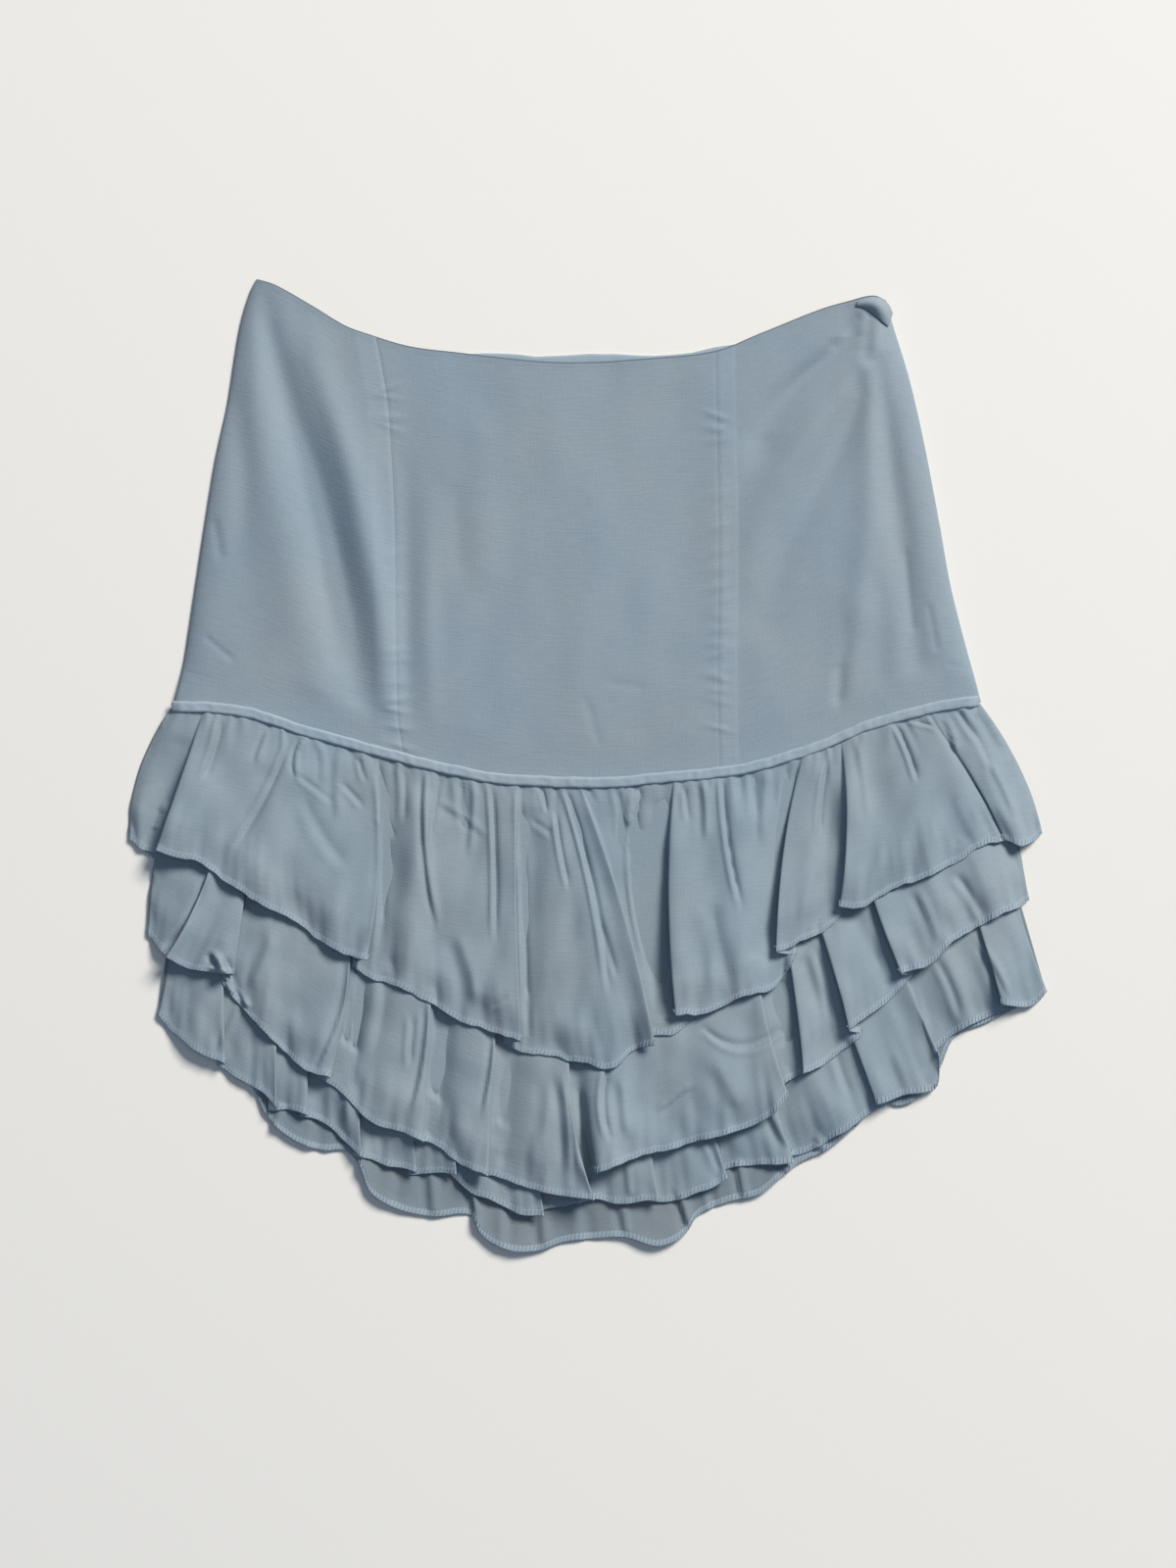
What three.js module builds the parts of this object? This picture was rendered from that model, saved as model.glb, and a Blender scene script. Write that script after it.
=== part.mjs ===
// A ruffled mini skirt laid flat on its back: a fitted yoke of panels, and three gathered tiers
// front and back that hang from it like shingles. X runs across the skirt, Y from the hem up to
// the waist, Z up from the table. All sizes are in millimetres.
import * as THREE from "three";

// Cloth and seams
const CLOTH = 1.0; // thickness of each wall
const SEAM_GAP = 0.3; // clear space between two pieces where they are sewn together
const CURVE_ROOM = 0.2; // more room there for the straight stretches of a curved seam
const LAYER = CLOTH + SEAM_GAP; // rise from one lying layer to the next
const BINDING_WIDTH = 5.5;
const BINDING_BELOW = 2.0; // how far the binding reaches below the yoke seam
const BINDING_CLOTH = 1.2;
const BINDING_LIFT = 0.5; // the front binding is thicker, and lies this much higher

// Tiers
const GATHER_PITCH = 15; // one gather for each 15 mm of seam, about 30 a tier
const GATHER_HEIGHT = 0.9;
const GATHER_STEP = 5; // longest stretch of seam between two sections where gathers show
const PLAIN_STEP = 9; // the same where the tier above hides them
const FOLD_STEP = 1.5; // cloth taken up at the seam by a fold's hidden edge
const SIDE_FALL = 7; // width over which the front turns down to meet the back at a side
const SIDE_DROP = 2.3; // how far it turns down there
const TIER_RISE = 1.15; // power by which a front tier climbs from its seam to its hem
const TUCK_START = 0.12; // part of a tier's length after which a knife fold opens
const GATHER_FULL = 0.12; // part of a tier's length at which its gathers are highest
const GATHER_FADE = 0.45; // part of a tier's length over which they fade again
const BACK_STEP = 15; // longest stretch of seam between two sections of a back tier
const BACK_LOWER_ROWS = [0.4, 0.75, 1]; // rows of a back tier once it lies on the table

// Yoke
const YOKE_LEVEL = 4.8; // middle height of the front yoke where it lies plain
const YOKE_SIDE_TURN = 16; // width over which it turns down at the sides
const YOKE_SEAM_RISE = 22; // length over which it climbs onto the seam of the ruffles
const BASE_REACH = 4; // how far a base panel runs on below the third seam

// Middle height of the nth layer of cloth above the table
const level = (n) => CLOTH / 2 + n * LAYER;
const FRONT_SEAM_LEVEL = level(4);

// Colours of the cloth, lighter where it catches the light
const YOKE_BLUE = 0x8da1b0;
const BINDING_BLUE = 0xa3b8c7;
const RUFFLE_BLUE = 0x96acbe;
const INSIDE_BLUE = 0x6f8aa0;

// The side edges of the yoke, from the hip to the waist: y, x
const LEFT_SIDE = [
  [28, -233],
  [52, -227.5],
  [99, -220.2],
  [135, -214.8],
  [172, -208.7],
  [203, -202],
  [246, -195],
  [266, -189.2],
  [274, -184.8],
];
const RIGHT_SIDE = [
  [33, 220.6],
  [52, 215.7],
  [99, 203.6],
  [136, 196.9],
  [180, 188.5],
  [217, 180],
  [248, 170.5],
  [262, 166.5],
];

// The two princess seams: y, x
const LEFT_PRINCESS = [
  [8, -103.5],
  [27, -106.2],
  [78, -107.2],
  [135, -108],
  [190, -110.8],
  [208, -113.5],
  [242, -125],
];
const RIGHT_PRINCESS = [
  [0, 73.6],
  [43, 72.7],
  [130, 73.2],
  [180, 72.3],
  [232, 71.4],
];

// The waist edge, front and back: x, y
const FRONT_WAIST = [
  [-185, 272.3],
  [-174.6, 268.7],
  [-154.6, 257.4],
  [-136.4, 246.4],
  [-123.5, 241.5],
  [-99.8, 234.5],
  [-72.6, 231],
  [-27, 226.1],
  [0.5, 225.6],
  [36.9, 228],
  [71.4, 231.9],
  [95.9, 241.5],
  [129.5, 255],
  [146.3, 260],
  [159.8, 263],
  [167.8, 260.2],
];
const BACK_WAIST = [
  [-185, 271.3],
  [-154.6, 256],
  [-123.5, 240.5],
  [-90, 232.5],
  [-58, 230.4],
  [-20, 230.2],
  [20, 230.4],
  [50, 231],
  [95.9, 239],
  [129.5, 252],
  [159.8, 261],
  [167.8, 258.5],
];

// The seam between yoke and first tier, at the lower edge of the yoke: x, y
const YOKE_SEAM = [
  [-234, 32],
  [-212, 31.4],
  [-198, 29.9],
  [-184, 26.6],
  [-147, 15],
  [-105, 3.6],
  [-63, -6.5],
  [-20, -10.3],
  [16, -10.2],
  [60, -6.2],
  [92, -2],
  [129, 9.8],
  [160, 22.2],
  [196, 31.8],
  [220, 35],
];

// The seams of the second and third tiers on the base panels: x, y
const SECOND_SEAM = [
  [-238, -22],
  [-190, -43],
  [-120, -84],
  [-50, -123],
  [0, -138],
  [50, -121],
  [110, -82],
  [150, -50],
  [190, -30],
  [238, -10],
];
const THIRD_SEAM = [
  [-234, -79],
  [-190, -103],
  [-135, -158],
  [-70, -194],
  [0, -211],
  [50, -190],
  [100, -167],
  [150, -122],
  [200, -80],
  [238, -58],
];

// Stations of the first front tier, from the left side to the right. seamX is where the station
// leaves the seam, hemX, hemY and hemZ where it ends, bow how far it swings sideways half way.
// A tuck says that a knife fold lies there: the cloth turns back under the station by that much,
// to its left if positive and to its right if negative.
const COLUMNS = ["seamX", "hemX", "hemY", "hemZ", "bow", "tuck"];
const FRONT_1 = {
  seam: YOKE_SEAM,
  under: 11.4,
  seamDrop: SEAM_GAP,
  step: GATHER_STEP,
  ripple: gather,
  rows: [0, 0.06, 0.14, 0.3, 0.52, 0.76, 1],
  stations: [
    [-234, -257, -42, 2.2, -7, 0],
    [-230, -252, -46, 7, -6, 0],
    [-225, -243, -50, 11, -3, 0],
    [-214, -242, -47, 17, 0, -10],
    [-200, -216, -55.5, 15, 0, 0],
    [-180, -191.4, -71, 17, 0, 0],
    [-160, -158.8, -92.2, 15, 0, 0],
    [-140, -143, -101.2, 16.5, 2, 0],
    [-119.5, -122.5, -110.5, 19, 5, 10],
    [-112, -119, -117.5, 11.6, 4, 0],
    [-99, -104.6, -126.4, 13.5, 3, 0],
    [-84, -87.6, -133.4, 12.5, 0, 0],
    [-70, -74.3, -141.6, 14.5, 0, 0],
    [-55, -50.3, -150.4, 16, 0, 0],
    [-41, -36.4, -153.5, 18.5, -1, 12],
    [-34, -40, -158.5, 11.5, 0, 0],
    [-27, -30, -162.5, 13.5, 0, 0],
    [-20, -17, -163.6, 12.5, 0, 0],
    [-15, -3.6, -166.5, 14, 0, 0],
    [-11, 13.5, -169.8, 16, 0, 0],
    [-8, 27, -158.5, 15, 3, 0],
    [-5, 38, -154.8, 18.5, 4, 11],
    [10, 38, -150.5, 11.4, 0, 0],
    [30, 52, -147, 11.4, 0, 0],
    [49, 48, -141.1, 18, -4, -12],
    [60, 60.7, -138.8, 15.5, 0, 0],
    [75, 82, -132.1, 16.5, 0, 0],
    [90, 96, -126.5, 14, 0, 0],
    [108, 109, -117.5, 11.6, 0, 0],
    [121.3, 104, -105.5, 18.5, -4, -13],
    [125, 113, -103.5, 16, -2, 0],
    [130, 123.3, -96.1, 15.5, 0, 0],
    [136, 136, -89.4, 12.5, 0, 0],
    [142.6, 139.3, -78, 18.5, 3, -10],
    [155, 154.7, -76.2, 15, 2, 0],
    [168, 179.4, -66.4, 16.5, 2, 0],
    [181, 207, -54, 13.5, 2, 0],
    [191.2, 232, -40.5, 18, 2, -9],
    [203, 240.5, -44, 15, 3, 0],
    [212, 249, -42, 9.5, 4, 0],
    [219.6, 254.7, -37.5, 2.2, 5, 0],
  ],
};

const FRONT_2 = {
  seam: SECOND_SEAM,
  under: 10.2,
  seamDrop: 0,
  step: PLAIN_STEP,
  ripple: () => 0,
  rows: [0, 0.12, 0.3, 0.52, 0.76, 1],
  stations: [
    [-237, -246.8, -94, 2.4, -2, 0],
    [-232, -241, -101, 7, 0, 0],
    [-227, -236, -106, 9.5, 0, 0],
    [-205, -236, -105.5, 15.5, 4, -10],
    [-201, -224, -114.4, 14, 2, 0],
    [-196, -210, -117.5, 16, 2, 0],
    [-190, -197, -119, 16.5, 1, 9],
    [-182, -196, -131.5, 10.4, 0, 0],
    [-172, -181, -148.1, 13, 0, 0],
    [-160, -163, -164.9, 12.5, 0, 0],
    [-133, -143, -176.5, 16.5, 4, 9],
    [-124, -137, -184.5, 10.4, 2, 0],
    [-114, -123.7, -195.7, 12.5, 0, 0],
    [-103, -104, -205, 13.5, 0, 0],
    [-87, -91, -210.5, 16.5, 0, 9],
    [-79, -85, -213.5, 10.4, 0, 0],
    [-69, -72, -222, 13, 0, 0],
    [-51, -55, -228.2, 16.5, 0, 9],
    [-43, -50, -230.8, 10.4, 0, 0],
    [-34, -31.4, -236.1, 13.5, 0, 0],
    [-24, -14, -242.5, 15, 0, 0],
    [-10, 4.5, -244.8, 18, -6, 11],
    [0, 3, -227, 10.3, -4, 0],
    [10, 16, -226, 12.5, 0, 0],
    [24, 36, -216.5, 14.5, 0, 0],
    [40, 56, -212, 13, 0, 0],
    [58, 78.1, -205.6, 16, 0, 0],
    [78, 100.6, -196.1, 15.5, 0, 0],
    [92, 112.4, -183, 17.5, -3, 10],
    [102, 112, -177, 10.4, -2, 0],
    [110, 128.6, -170.3, 11.5, 0, 0],
    [117, 141, -159.5, 10.4, 0, 0],
    [124, 144.9, -150.5, 17, 1, -9],
    [134, 154.6, -141.7, 14, 0, 0],
    [144, 170, -130, 11.5, 0, 0],
    [153, 174, -117, 17, -2, -9],
    [166, 192.1, -109, 14.5, 0, 0],
    [178, 202, -99.5, 15.5, 0, 0],
    [190, 212, -94, 12, 0, 0],
    [206, 231, -83.5, 14.5, 0, 0],
    [220, 241, -80, 9, 0, 0],
    [236, 247.4, -74.5, 2.4, -1, 0],
  ],
};

const FRONT_3 = {
  seam: THIRD_SEAM,
  under: 4.8,
  seamDrop: 0,
  step: PLAIN_STEP,
  ripple: () => 0,
  rows: [0, 0.18, 0.42, 0.7, 1],
  stations: [
    [-233, -241.3, -141, 2.4, 2, 0],
    [-229, -236, -147.8, 5, 1, 0],
    [-221, -223, -157, 7, 0, 0],
    [-205, -202, -168, 9.5, 0, 7],
    [-192, -199, -174.5, 4.9, 0, 0],
    [-184, -183, -183, 7, 0, 0],
    [-175, -173, -191, 9.5, 0, 7],
    [-166, -170, -192.5, 4.9, 0, 0],
    [-157, -156, -196, 9.5, 0, 6],
    [-149, -151, -200, 4.9, 0, 0],
    [-139, -136, -210.4, 7, 0, 0],
    [-129, -126, -218, 9.5, 0, 7],
    [-120, -122, -219.8, 4.9, 0, 0],
    [-110, -108, -223.7, 7, 0, 0],
    [-100, -95, -227.5, 9.5, 0, 7],
    [-90, -90, -228.2, 4.9, 0, 0],
    [-76, -72.5, -229, 9.5, 0, 7],
    [-66, -70, -238, 4.9, 0, 0],
    [-56, -55, -244, 7, 0, 0],
    [-44, -42, -249, 6, 0, 0],
    [-30, -23.6, -250.8, 9.8, 0, 8],
    [-20, -18, -247.5, 4.9, 0, 0],
    [-8, -2, -243.8, 8, 0, 0],
    [6, 10, -243.6, 5.5, 0, 0],
    [18, 24, -244.2, 8.5, 0, 0],
    [32, 41, -242, 9.5, 0, 7],
    [42, 50, -241.9, 4.9, 0, 0],
    [52, 63, -238, 7.5, 0, 0],
    [64, 79, -229.3, 9.5, 0, 7],
    [73, 82, -224, 4.9, 0, 0],
    [84, 98, -222, 7.5, 0, 0],
    [97, 114.6, -217, 9.5, 0, 7],
    [107, 121, -212, 4.9, 0, 0],
    [118, 136.5, -206.2, 8, 0, 0],
    [129, 152, -193.5, 5.5, 0, 0],
    [140, 158.4, -184.5, 10, 0, -8],
    [150, 172, -180.3, 7, 0, 0],
    [158, 188, -178.6, 7, 0, 0],
    [164, 194.5, -174.5, 5.5, 0, 0],
    [171, 197, -162, 9.5, 0, 6],
    [180, 201, -153.5, 4.9, 0, 0],
    [192, 215.7, -145, 8, 0, 0],
    [203, 227, -139.5, 5.5, 0, 0],
    [214, 230.5, -133.5, 10.5, 0, -7],
    [223, 243, -133.7, 8, 0, 0],
    [230, 252, -132.4, 5, 0, 0],
    [237, 257.4, -127.5, 2.4, -2, 0],
  ],
};

// The back tiers lie pressed flat under the front, so their stations need no height but past
// the front hem, where the lowest tier lifts in lobes.
const BACK_COLUMNS = ["seamX", "hemX", "hemY", "hemZ"];
const BACK_1 = {
  seam: YOKE_SEAM,
  highUntil: 3,
  flatFrom: 8,
  stations: [
    [-234, -256.6, -42, 0.5],
    [-226, -243, -52, 0.5],
    [-205, -218, -60, 0.5],
    [-180, -189, -77, 0.5],
    [-150, -156, -95, 0.5],
    [-120, -124, -111, 0.5],
    [-90, -93, -128, 0.5],
    [-60, -62, -146, 0.5],
    [-30, -31, -159, 0.5],
    [0, 0, -166, 0.5],
    [30, 31, -158, 0.5],
    [60, 63, -142, 0.5],
    [90, 95, -121, 0.5],
    [120, 125, -99, 0.5],
    [150, 156, -76, 0.5],
    [180, 190, -61, 0.5],
    [203, 222, -51, 0.5],
    [212, 240, -46, 0.5],
    [219.6, 254.3, -37.5, 0.5],
  ],
};
const BACK_2 = {
  seam: SECOND_SEAM,
  highUntil: 34,
  flatFrom: 42,
  stations: [
    [-237, -246.4, -94, 0.5],
    [-226, -236, -102, 0.5],
    [-205, -213, -117, 0.5],
    [-180, -187, -138, 0.5],
    [-150, -156, -167, 0.5],
    [-120, -125, -194, 0.5],
    [-90, -93, -211, 0.5],
    [-60, -62, -226, 0.5],
    [-30, -31, -236, 0.5],
    [0, 0, -239, 0.5],
    [30, 32, -227, 0.5],
    [60, 64, -211, 0.5],
    [90, 96, -197, 0.5],
    [120, 128, -170, 0.5],
    [150, 160, -141, 0.5],
    [180, 193, -109, 0.5],
    [205, 221, -87, 0.5],
    [222, 236, -79, 0.5],
    [236, 247, -74.5, 0.5],
  ],
};
const BACK_3 = {
  seam: THIRD_SEAM,
  highUntil: 34,
  flatFrom: 42,
  stations: [
    [-233, -240.9, -140.5, 0.5],
    [-222, -226, -150, 0.5],
    [-206, -205, -163, 0.5],
    [-190, -189, -179, 0.5],
    [-179, -179, -198, 1.5],
    [-168, -164, -210.5, 2.8],
    [-154, -148, -216, 0.8],
    [-142, -136, -216, 0.5],
    [-132, -128, -224, 2],
    [-122, -122, -239, 3.5],
    [-108, -107, -248.5, 2],
    [-90, -88, -253, 0.5],
    [-72, -65, -253.4, 0.5],
    [-62, -60, -262.5, 2.2],
    [-50, -44, -271.7, 4],
    [-34, -28, -272, 2],
    [-20, -14, -267.4, 0.5],
    [-2, 4, -265.3, 0.5],
    [14, 20, -264.4, 2],
    [32, 41, -269.2, 4],
    [46, 55, -262, 2],
    [56, 60, -254, 0.5],
    [68, 78, -245, 0.5],
    [84, 97, -240, 2.5],
    [97, 108.5, -230.5, 2.5],
    [108, 118, -223.3, 0.5],
    [122, 134, -215.4, 1.5],
    [134, 150, -202.5, 1],
    [146, 165, -189, 0.5],
    [152, 174.5, -191, 0.5],
    [164, 189, -182.5, 2.4],
    [174, 196.4, -171, 2.4],
    [188, 206, -152, 0.5],
    [206, 224, -144, 0.5],
    [222, 240, -136, 0.5],
    [237, 256.9, -127.5, 0.5],
  ],
};

// Soft drape folds of the front yoke: a trough or ridge along a line from x0, y0 to x1, y1,
// as wide as width on each side of it, with its height at the middle.
const DRAPE_COLUMNS = ["x0", "y0", "x1", "y1", "width", "height"];
const YOKE_DRAPES = [
  [-178, 262, -136, 30, 16, -1.6],
  [-154, 225, -120, 25, 12, 1.1],
  [-195, 215, -186, 165, 12, -0.7],
  [-80, 150, -75, 70, 22, -0.7],
  [-20, 190, -10, 60, 34, 0.5],
  [118, 185, 96, 130, 15, -0.8],
  [160, 240, 164, 150, 11, 0.9],
  [172, 170, 182, 60, 10, -0.9],
  [140, 90, 141, 25, 12, -0.8],
  [160, 256, 138, 214, 9, 0.8],
];

const read = (columns, values) =>
  values.map((row) => Object.fromEntries(columns.map((name, i) => [name, row[i]])));
const mix = (a, b, t) => a + (b - a) * t;
const clamp = (v, low, high) => Math.min(high, Math.max(low, v));
const smooth = (t) => {
  const c = clamp(t, 0, 1);
  return c * c * (3 - 2 * c);
};

// A smooth curve through the rows of a table, as a function of its first column.
function through(table) {
  const slope = table.map((_, i) => {
    const a = table[Math.max(i - 1, 0)];
    const b = table[Math.min(i + 1, table.length - 1)];
    return (b[1] - a[1]) / (b[0] - a[0]);
  });
  return (at) => {
    const v = clamp(at, table[0][0], table[table.length - 1][0]);
    let i = 0;
    while (i < table.length - 2 && table[i + 1][0] < v) i += 1;
    const [x0, y0] = table[i];
    const [x1, y1] = table[i + 1];
    const h = x1 - x0;
    const t = (v - x0) / h;
    const ease = t * t * (3 - 2 * t);
    return mix(y0, y1, ease) + h * t * (1 - t) * ((1 - t) * slope[i] - t * slope[i + 1]);
  };
}

const leftSide = through(LEFT_SIDE);
const rightSide = through(RIGHT_SIDE);
const leftPrincess = through(LEFT_PRINCESS);
const rightPrincess = through(RIGHT_PRINCESS);
const frontWaist = through(FRONT_WAIST);
const backWaist = through(BACK_WAIST);
const yokeSeam = through(YOKE_SEAM);

// A closed wall around a middle surface. The grid holds rows of [x, y, z] points, each row a
// section of the cloth across the skirt. Both faces stand off the middle along the section's
// own normal, and at a sharp fold no further than MITRE times half the thickness.
const MITRE = 1.3;
function wall(grid, thickness = CLOTH) {
  const rows = grid.length;
  const columns = grid[0].length;
  const half = thickness / 2;
  const faces = [[], []];
  for (const row of grid) {
    row.forEach(([x, y, z], i) => {
      const before = row[Math.max(i - 1, 0)];
      const after = row[Math.min(i + 1, columns - 1)];
      const normals = [
        [before, row[i]],
        [row[i], after],
      ]
        .filter(([a, b]) => a !== b)
        .map(([a, b]) => new THREE.Vector2(a[2] - b[2], b[0] - a[0]).normalize());
      const sum = normals.reduce((a, n) => a.add(n), new THREE.Vector2());
      const spread = sum.length() / normals.length;
      sum.normalize().multiplyScalar(half * Math.min(1 / Math.max(spread, 0.01), MITRE));
      faces[0].push([x + sum.x, y, z + sum.y]);
      faces[1].push([x - sum.x, y, z - sum.y]);
    });
  }
  const positions = [...faces[0], ...faces[1]].flat();
  const lower = rows * columns;
  const index = [];
  const quad = (a, b, c, d) => index.push(a, b, c, a, c, d);
  const at = (j, i) => j * columns + i;
  for (let j = 0; j + 1 < rows; j += 1) {
    for (let i = 0; i + 1 < columns; i += 1) {
      const [a, b, c, d] = [at(j, i), at(j, i + 1), at(j + 1, i + 1), at(j + 1, i)];
      quad(a, b, c, d);
      quad(lower + a, lower + d, lower + c, lower + b);
    }
    const [first, next] = [at(j, 0), at(j + 1, 0)];
    quad(first, next, lower + next, lower + first);
    const [last, after] = [at(j, columns - 1), at(j + 1, columns - 1)];
    quad(last, lower + last, lower + after, after);
  }
  for (let i = 0; i + 1 < columns; i += 1) {
    quad(at(0, i), lower + at(0, i), lower + at(0, i + 1), at(0, i + 1));
    const end = rows - 1;
    quad(at(end, i), at(end, i + 1), lower + at(end, i + 1), lower + at(end, i));
  }
  const geometry = new THREE.BufferGeometry();
  geometry.setAttribute("position", new THREE.Float32BufferAttribute(positions, 3));
  geometry.setIndex(facingOut(positions, index));
  geometry.computeVertexNormals();
  return geometry;
}

// The triangles, each turned over if together they enclose a negative volume.
function facingOut(positions, index) {
  const point = (i) => new THREE.Vector3().fromArray(positions, 3 * i);
  let volume = 0;
  for (let k = 0; k < index.length; k += 3) {
    const [a, b, c] = [index[k], index[k + 1], index[k + 2]].map(point);
    volume += a.dot(b.cross(c));
  }
  return volume > 0 ? index : index.toReversed();
}

function piece(name, grid, colour, thickness) {
  const finish = { color: colour, roughness: 0.9, metalness: 0, side: THREE.DoubleSide };
  const mesh = new THREE.Mesh(wall(grid, thickness), new THREE.MeshStandardMaterial(finish));
  mesh.name = name;
  return mesh;
}

// How far the front has turned down towards the back, from 1 at a side edge to 0 inside.
const sideTurn = (inward, width) => Math.sqrt(Math.max(0, 1 - inward / width));

// Height of the front where the tiers are sewn on, lower at the sides.
function seamHeight(x, left, right) {
  const inward = Math.max(0, Math.min(x - left, right - x));
  return FRONT_SEAM_LEVEL - SIDE_DROP * smooth(1 - inward / SIDE_FALL);
}

// Stations with the hidden edge of each knife fold put in beside its visible edge.
function withTucks(stations) {
  return stations.flatMap((station) => {
    if (!station.tuck) return [station];
    const hidden = { ...station, hiddenOf: station };
    return station.tuck > 0 ? [station, hidden] : [hidden, station];
  });
}

// One row of a tier, with the stretches of cloth between stations cut into steps. The steps
// follow the curve of the seam, and less of it towards the hem.
function tierRow(stations, { seam, height }, t, step, pointOf, ripple) {
  const row = [];
  stations.forEach((s, i) => {
    row.push(pointOf(s));
    const next = stations[i + 1];
    if (!next) return;
    const tucked = s.hiddenOf === next || next.hiddenOf === s;
    const steps = tucked ? 1 : Math.ceil((next.seamX - s.seamX) / step);
    const [from, to] = [pointOf(s), pointOf(next)];
    for (let k = 1; k < steps; k += 1) {
      const part = k / steps;
      const seamX = mix(s.seamX, next.seamX, part);
      const curve = (of) => (of(seamX) - mix(of(s.seamX), of(next.seamX), part)) * (1 - t);
      const [x, y, z] = from.map((v, axis) => mix(v, to[axis], part));
      row.push([x, y + curve(seam), z + curve(height) + ripple(seamX, t)]);
    }
  });
  return row;
}

// Height of the gathers at a place along the seam, t of the way to the hem.
function gather(x, t) {
  const number = x / GATHER_PITCH;
  const height = GATHER_HEIGHT * (0.7 + 0.3 * Math.sin(2.3 * Math.floor(number)));
  const fade = smooth(t / GATHER_FULL) * (1 - smooth((t - GATHER_FULL) / GATHER_FADE));
  return height * fade * (0.5 - 0.5 * Math.cos(2 * Math.PI * number));
}

// A gathered front tier: each station runs from the seam to the hem. Its height eases from the
// seam's to the hem's, and gathers ripple the cloth just below the seam.
function frontTier(tier) {
  const stations = withTucks(read(COLUMNS, tier.stations));
  const seam = through(tier.seam);
  const left = stations[0].seamX;
  const right = stations[stations.length - 1].seamX;
  const height = (x) => seamHeight(x, left, right);
  const point = (s, t) => {
    const from = height(s.seamX);
    const rise = Math.pow(t, TIER_RISE);
    const swing = s.bow * 4 * t * (1 - t);
    const x = mix(s.seamX, s.hemX, t) + swing;
    const y = mix(seam(s.seamX) - tier.seamDrop, s.hemY, t);
    if (!s.hiddenOf) return [x, y, mix(from, s.hemZ, rise)];
    const opened = smooth((t - TUCK_START) / (1 - TUCK_START));
    const tucked = mix(Math.sign(s.tuck) * FOLD_STEP, -s.tuck, opened);
    return [x + tucked, y, mix(from, tier.under, rise)];
  };
  return tier.rows.map((t) =>
    tierRow(stations, { seam, height }, t, tier.step, (s) => point(s, t), tier.ripple),
  );
}

// A back tier: it lies one layer up as far as highUntil below its seam, comes down to the table
// by flatFrom, and its hem lifts to hemZ.
function backTier(tier) {
  const stations = read(BACK_COLUMNS, tier.stations);
  const seam = through(tier.seam);
  const start = (s) => seam(s.seamX) - SEAM_GAP / 2;
  const point = (s, below, lift) => {
    const t = below / (start(s) - s.hemY);
    const down = smooth((below - tier.highUntil) / (tier.flatFrom - tier.highUntil));
    const z = mix(level(1), level(0), down) + (s.hemZ - CLOTH / 2) * lift;
    return [mix(s.seamX, s.hemX, t), mix(start(s), s.hemY, t), z];
  };
  const edge = { seam, height: () => level(1) };
  const row = (below, lift, t) =>
    tierRow(stations, edge, t, BACK_STEP, (s) => point(s, below(s), lift), () => 0);
  const upper = [0, tier.highUntil, tier.flatFrom];
  return [
    ...upper.map((below, i) => row(() => below, 0, i / 4)),
    ...BACK_LOWER_ROWS.map((part) =>
      row((s) => mix(tier.flatFrom, start(s) - s.hemY, part), smooth(part), mix(0.6, 1, part)),
    ),
  ];
}

// A panel between two side edges, x as a function of y, and two ends, y as a function of x.
function panel({ left, right, lower, upper, across, along, height }) {
  return along.map((v) =>
    across.map((u) => {
      let x = mix(left(0), right(0), u);
      let y = 0;
      for (let turn = 0; turn < PANEL_TURNS; turn += 1) {
        y = mix(lower(x), upper(x), v);
        x = mix(left(y), right(y), u);
      }
      return [x, y, height(x, y, v)];
    }),
  );
}

// Height of the drape folds at a point of the front yoke.
const drapes = read(DRAPE_COLUMNS, YOKE_DRAPES);
function drapeHeight(x, y) {
  return drapes.reduce((sum, { x0, y0, x1, y1, width, height }) => {
    const along = new THREE.Vector2(x1 - x0, y1 - y0);
    const from = new THREE.Vector2(x - x0, y - y0);
    const t = clamp(from.dot(along) / along.lengthSq(), 0, 1);
    const away = from.sub(along.multiplyScalar(t)).length() / width;
    return sum + height * Math.exp(-away * away);
  }, 0);
}

// Height of the front yoke: turned down at the sides, up over the seam of the ruffles.
function frontYokeHeight(x, y) {
  const inward = Math.min(x - leftSide(y), rightSide(y) - x);
  const turned = sideTurn(inward, YOKE_SIDE_TURN);
  const above = y - yokeSeam(x);
  const atSeam = 1 - smooth((above - YOKE_SEAM_RISE / 3) / YOKE_SEAM_RISE);
  const open = YOKE_LEVEL + drapeHeight(x, y) * (1 - atSeam);
  const inside = mix(open, FRONT_SEAM_LEVEL, atSeam);
  const edge = mix(level(1), FRONT_SEAM_LEVEL - SIDE_DROP, atSeam);
  return mix(inside, edge, turned);
}

// Height of the back yoke: flat on the table, up over the binding at its lower edge.
function backYokeHeight(x, y) {
  const above = y - yokeSeam(x) - BINDING_WIDTH;
  return mix(level(1), level(0), smooth(above / BINDING_WIDTH));
}

// A strip that follows the yoke seam, from below to above it, on one side of the cloth.
function seamStrip(above, height) {
  return above.map((offset) =>
    BINDING_STATIONS.map((part) => {
      const x = mix(BINDING_ENDS[0], BINDING_ENDS[1], part);
      return [x, yokeSeam(x) + offset, height(x)];
    }),
  );
}

const evenly = (count) => Array.from({ length: count + 1 }, (_, i) => i / count);
const shifted = (edge, by) => (y) => edge(y) + by;

const PANEL_TURNS = 4; // rounds in which a panel's point settles between its curved edges
const BINDING_STATIONS = [0.004, 0.008, 0.012, 0.016, 0.98, 0.984, 0.988, 0.992, ...evenly(42)].sort(
  (a, b) => a - b,
);
const BINDING_ENDS = [-233.2, 219];
const FRONT_ENDS = [-234, 219.6];

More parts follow.
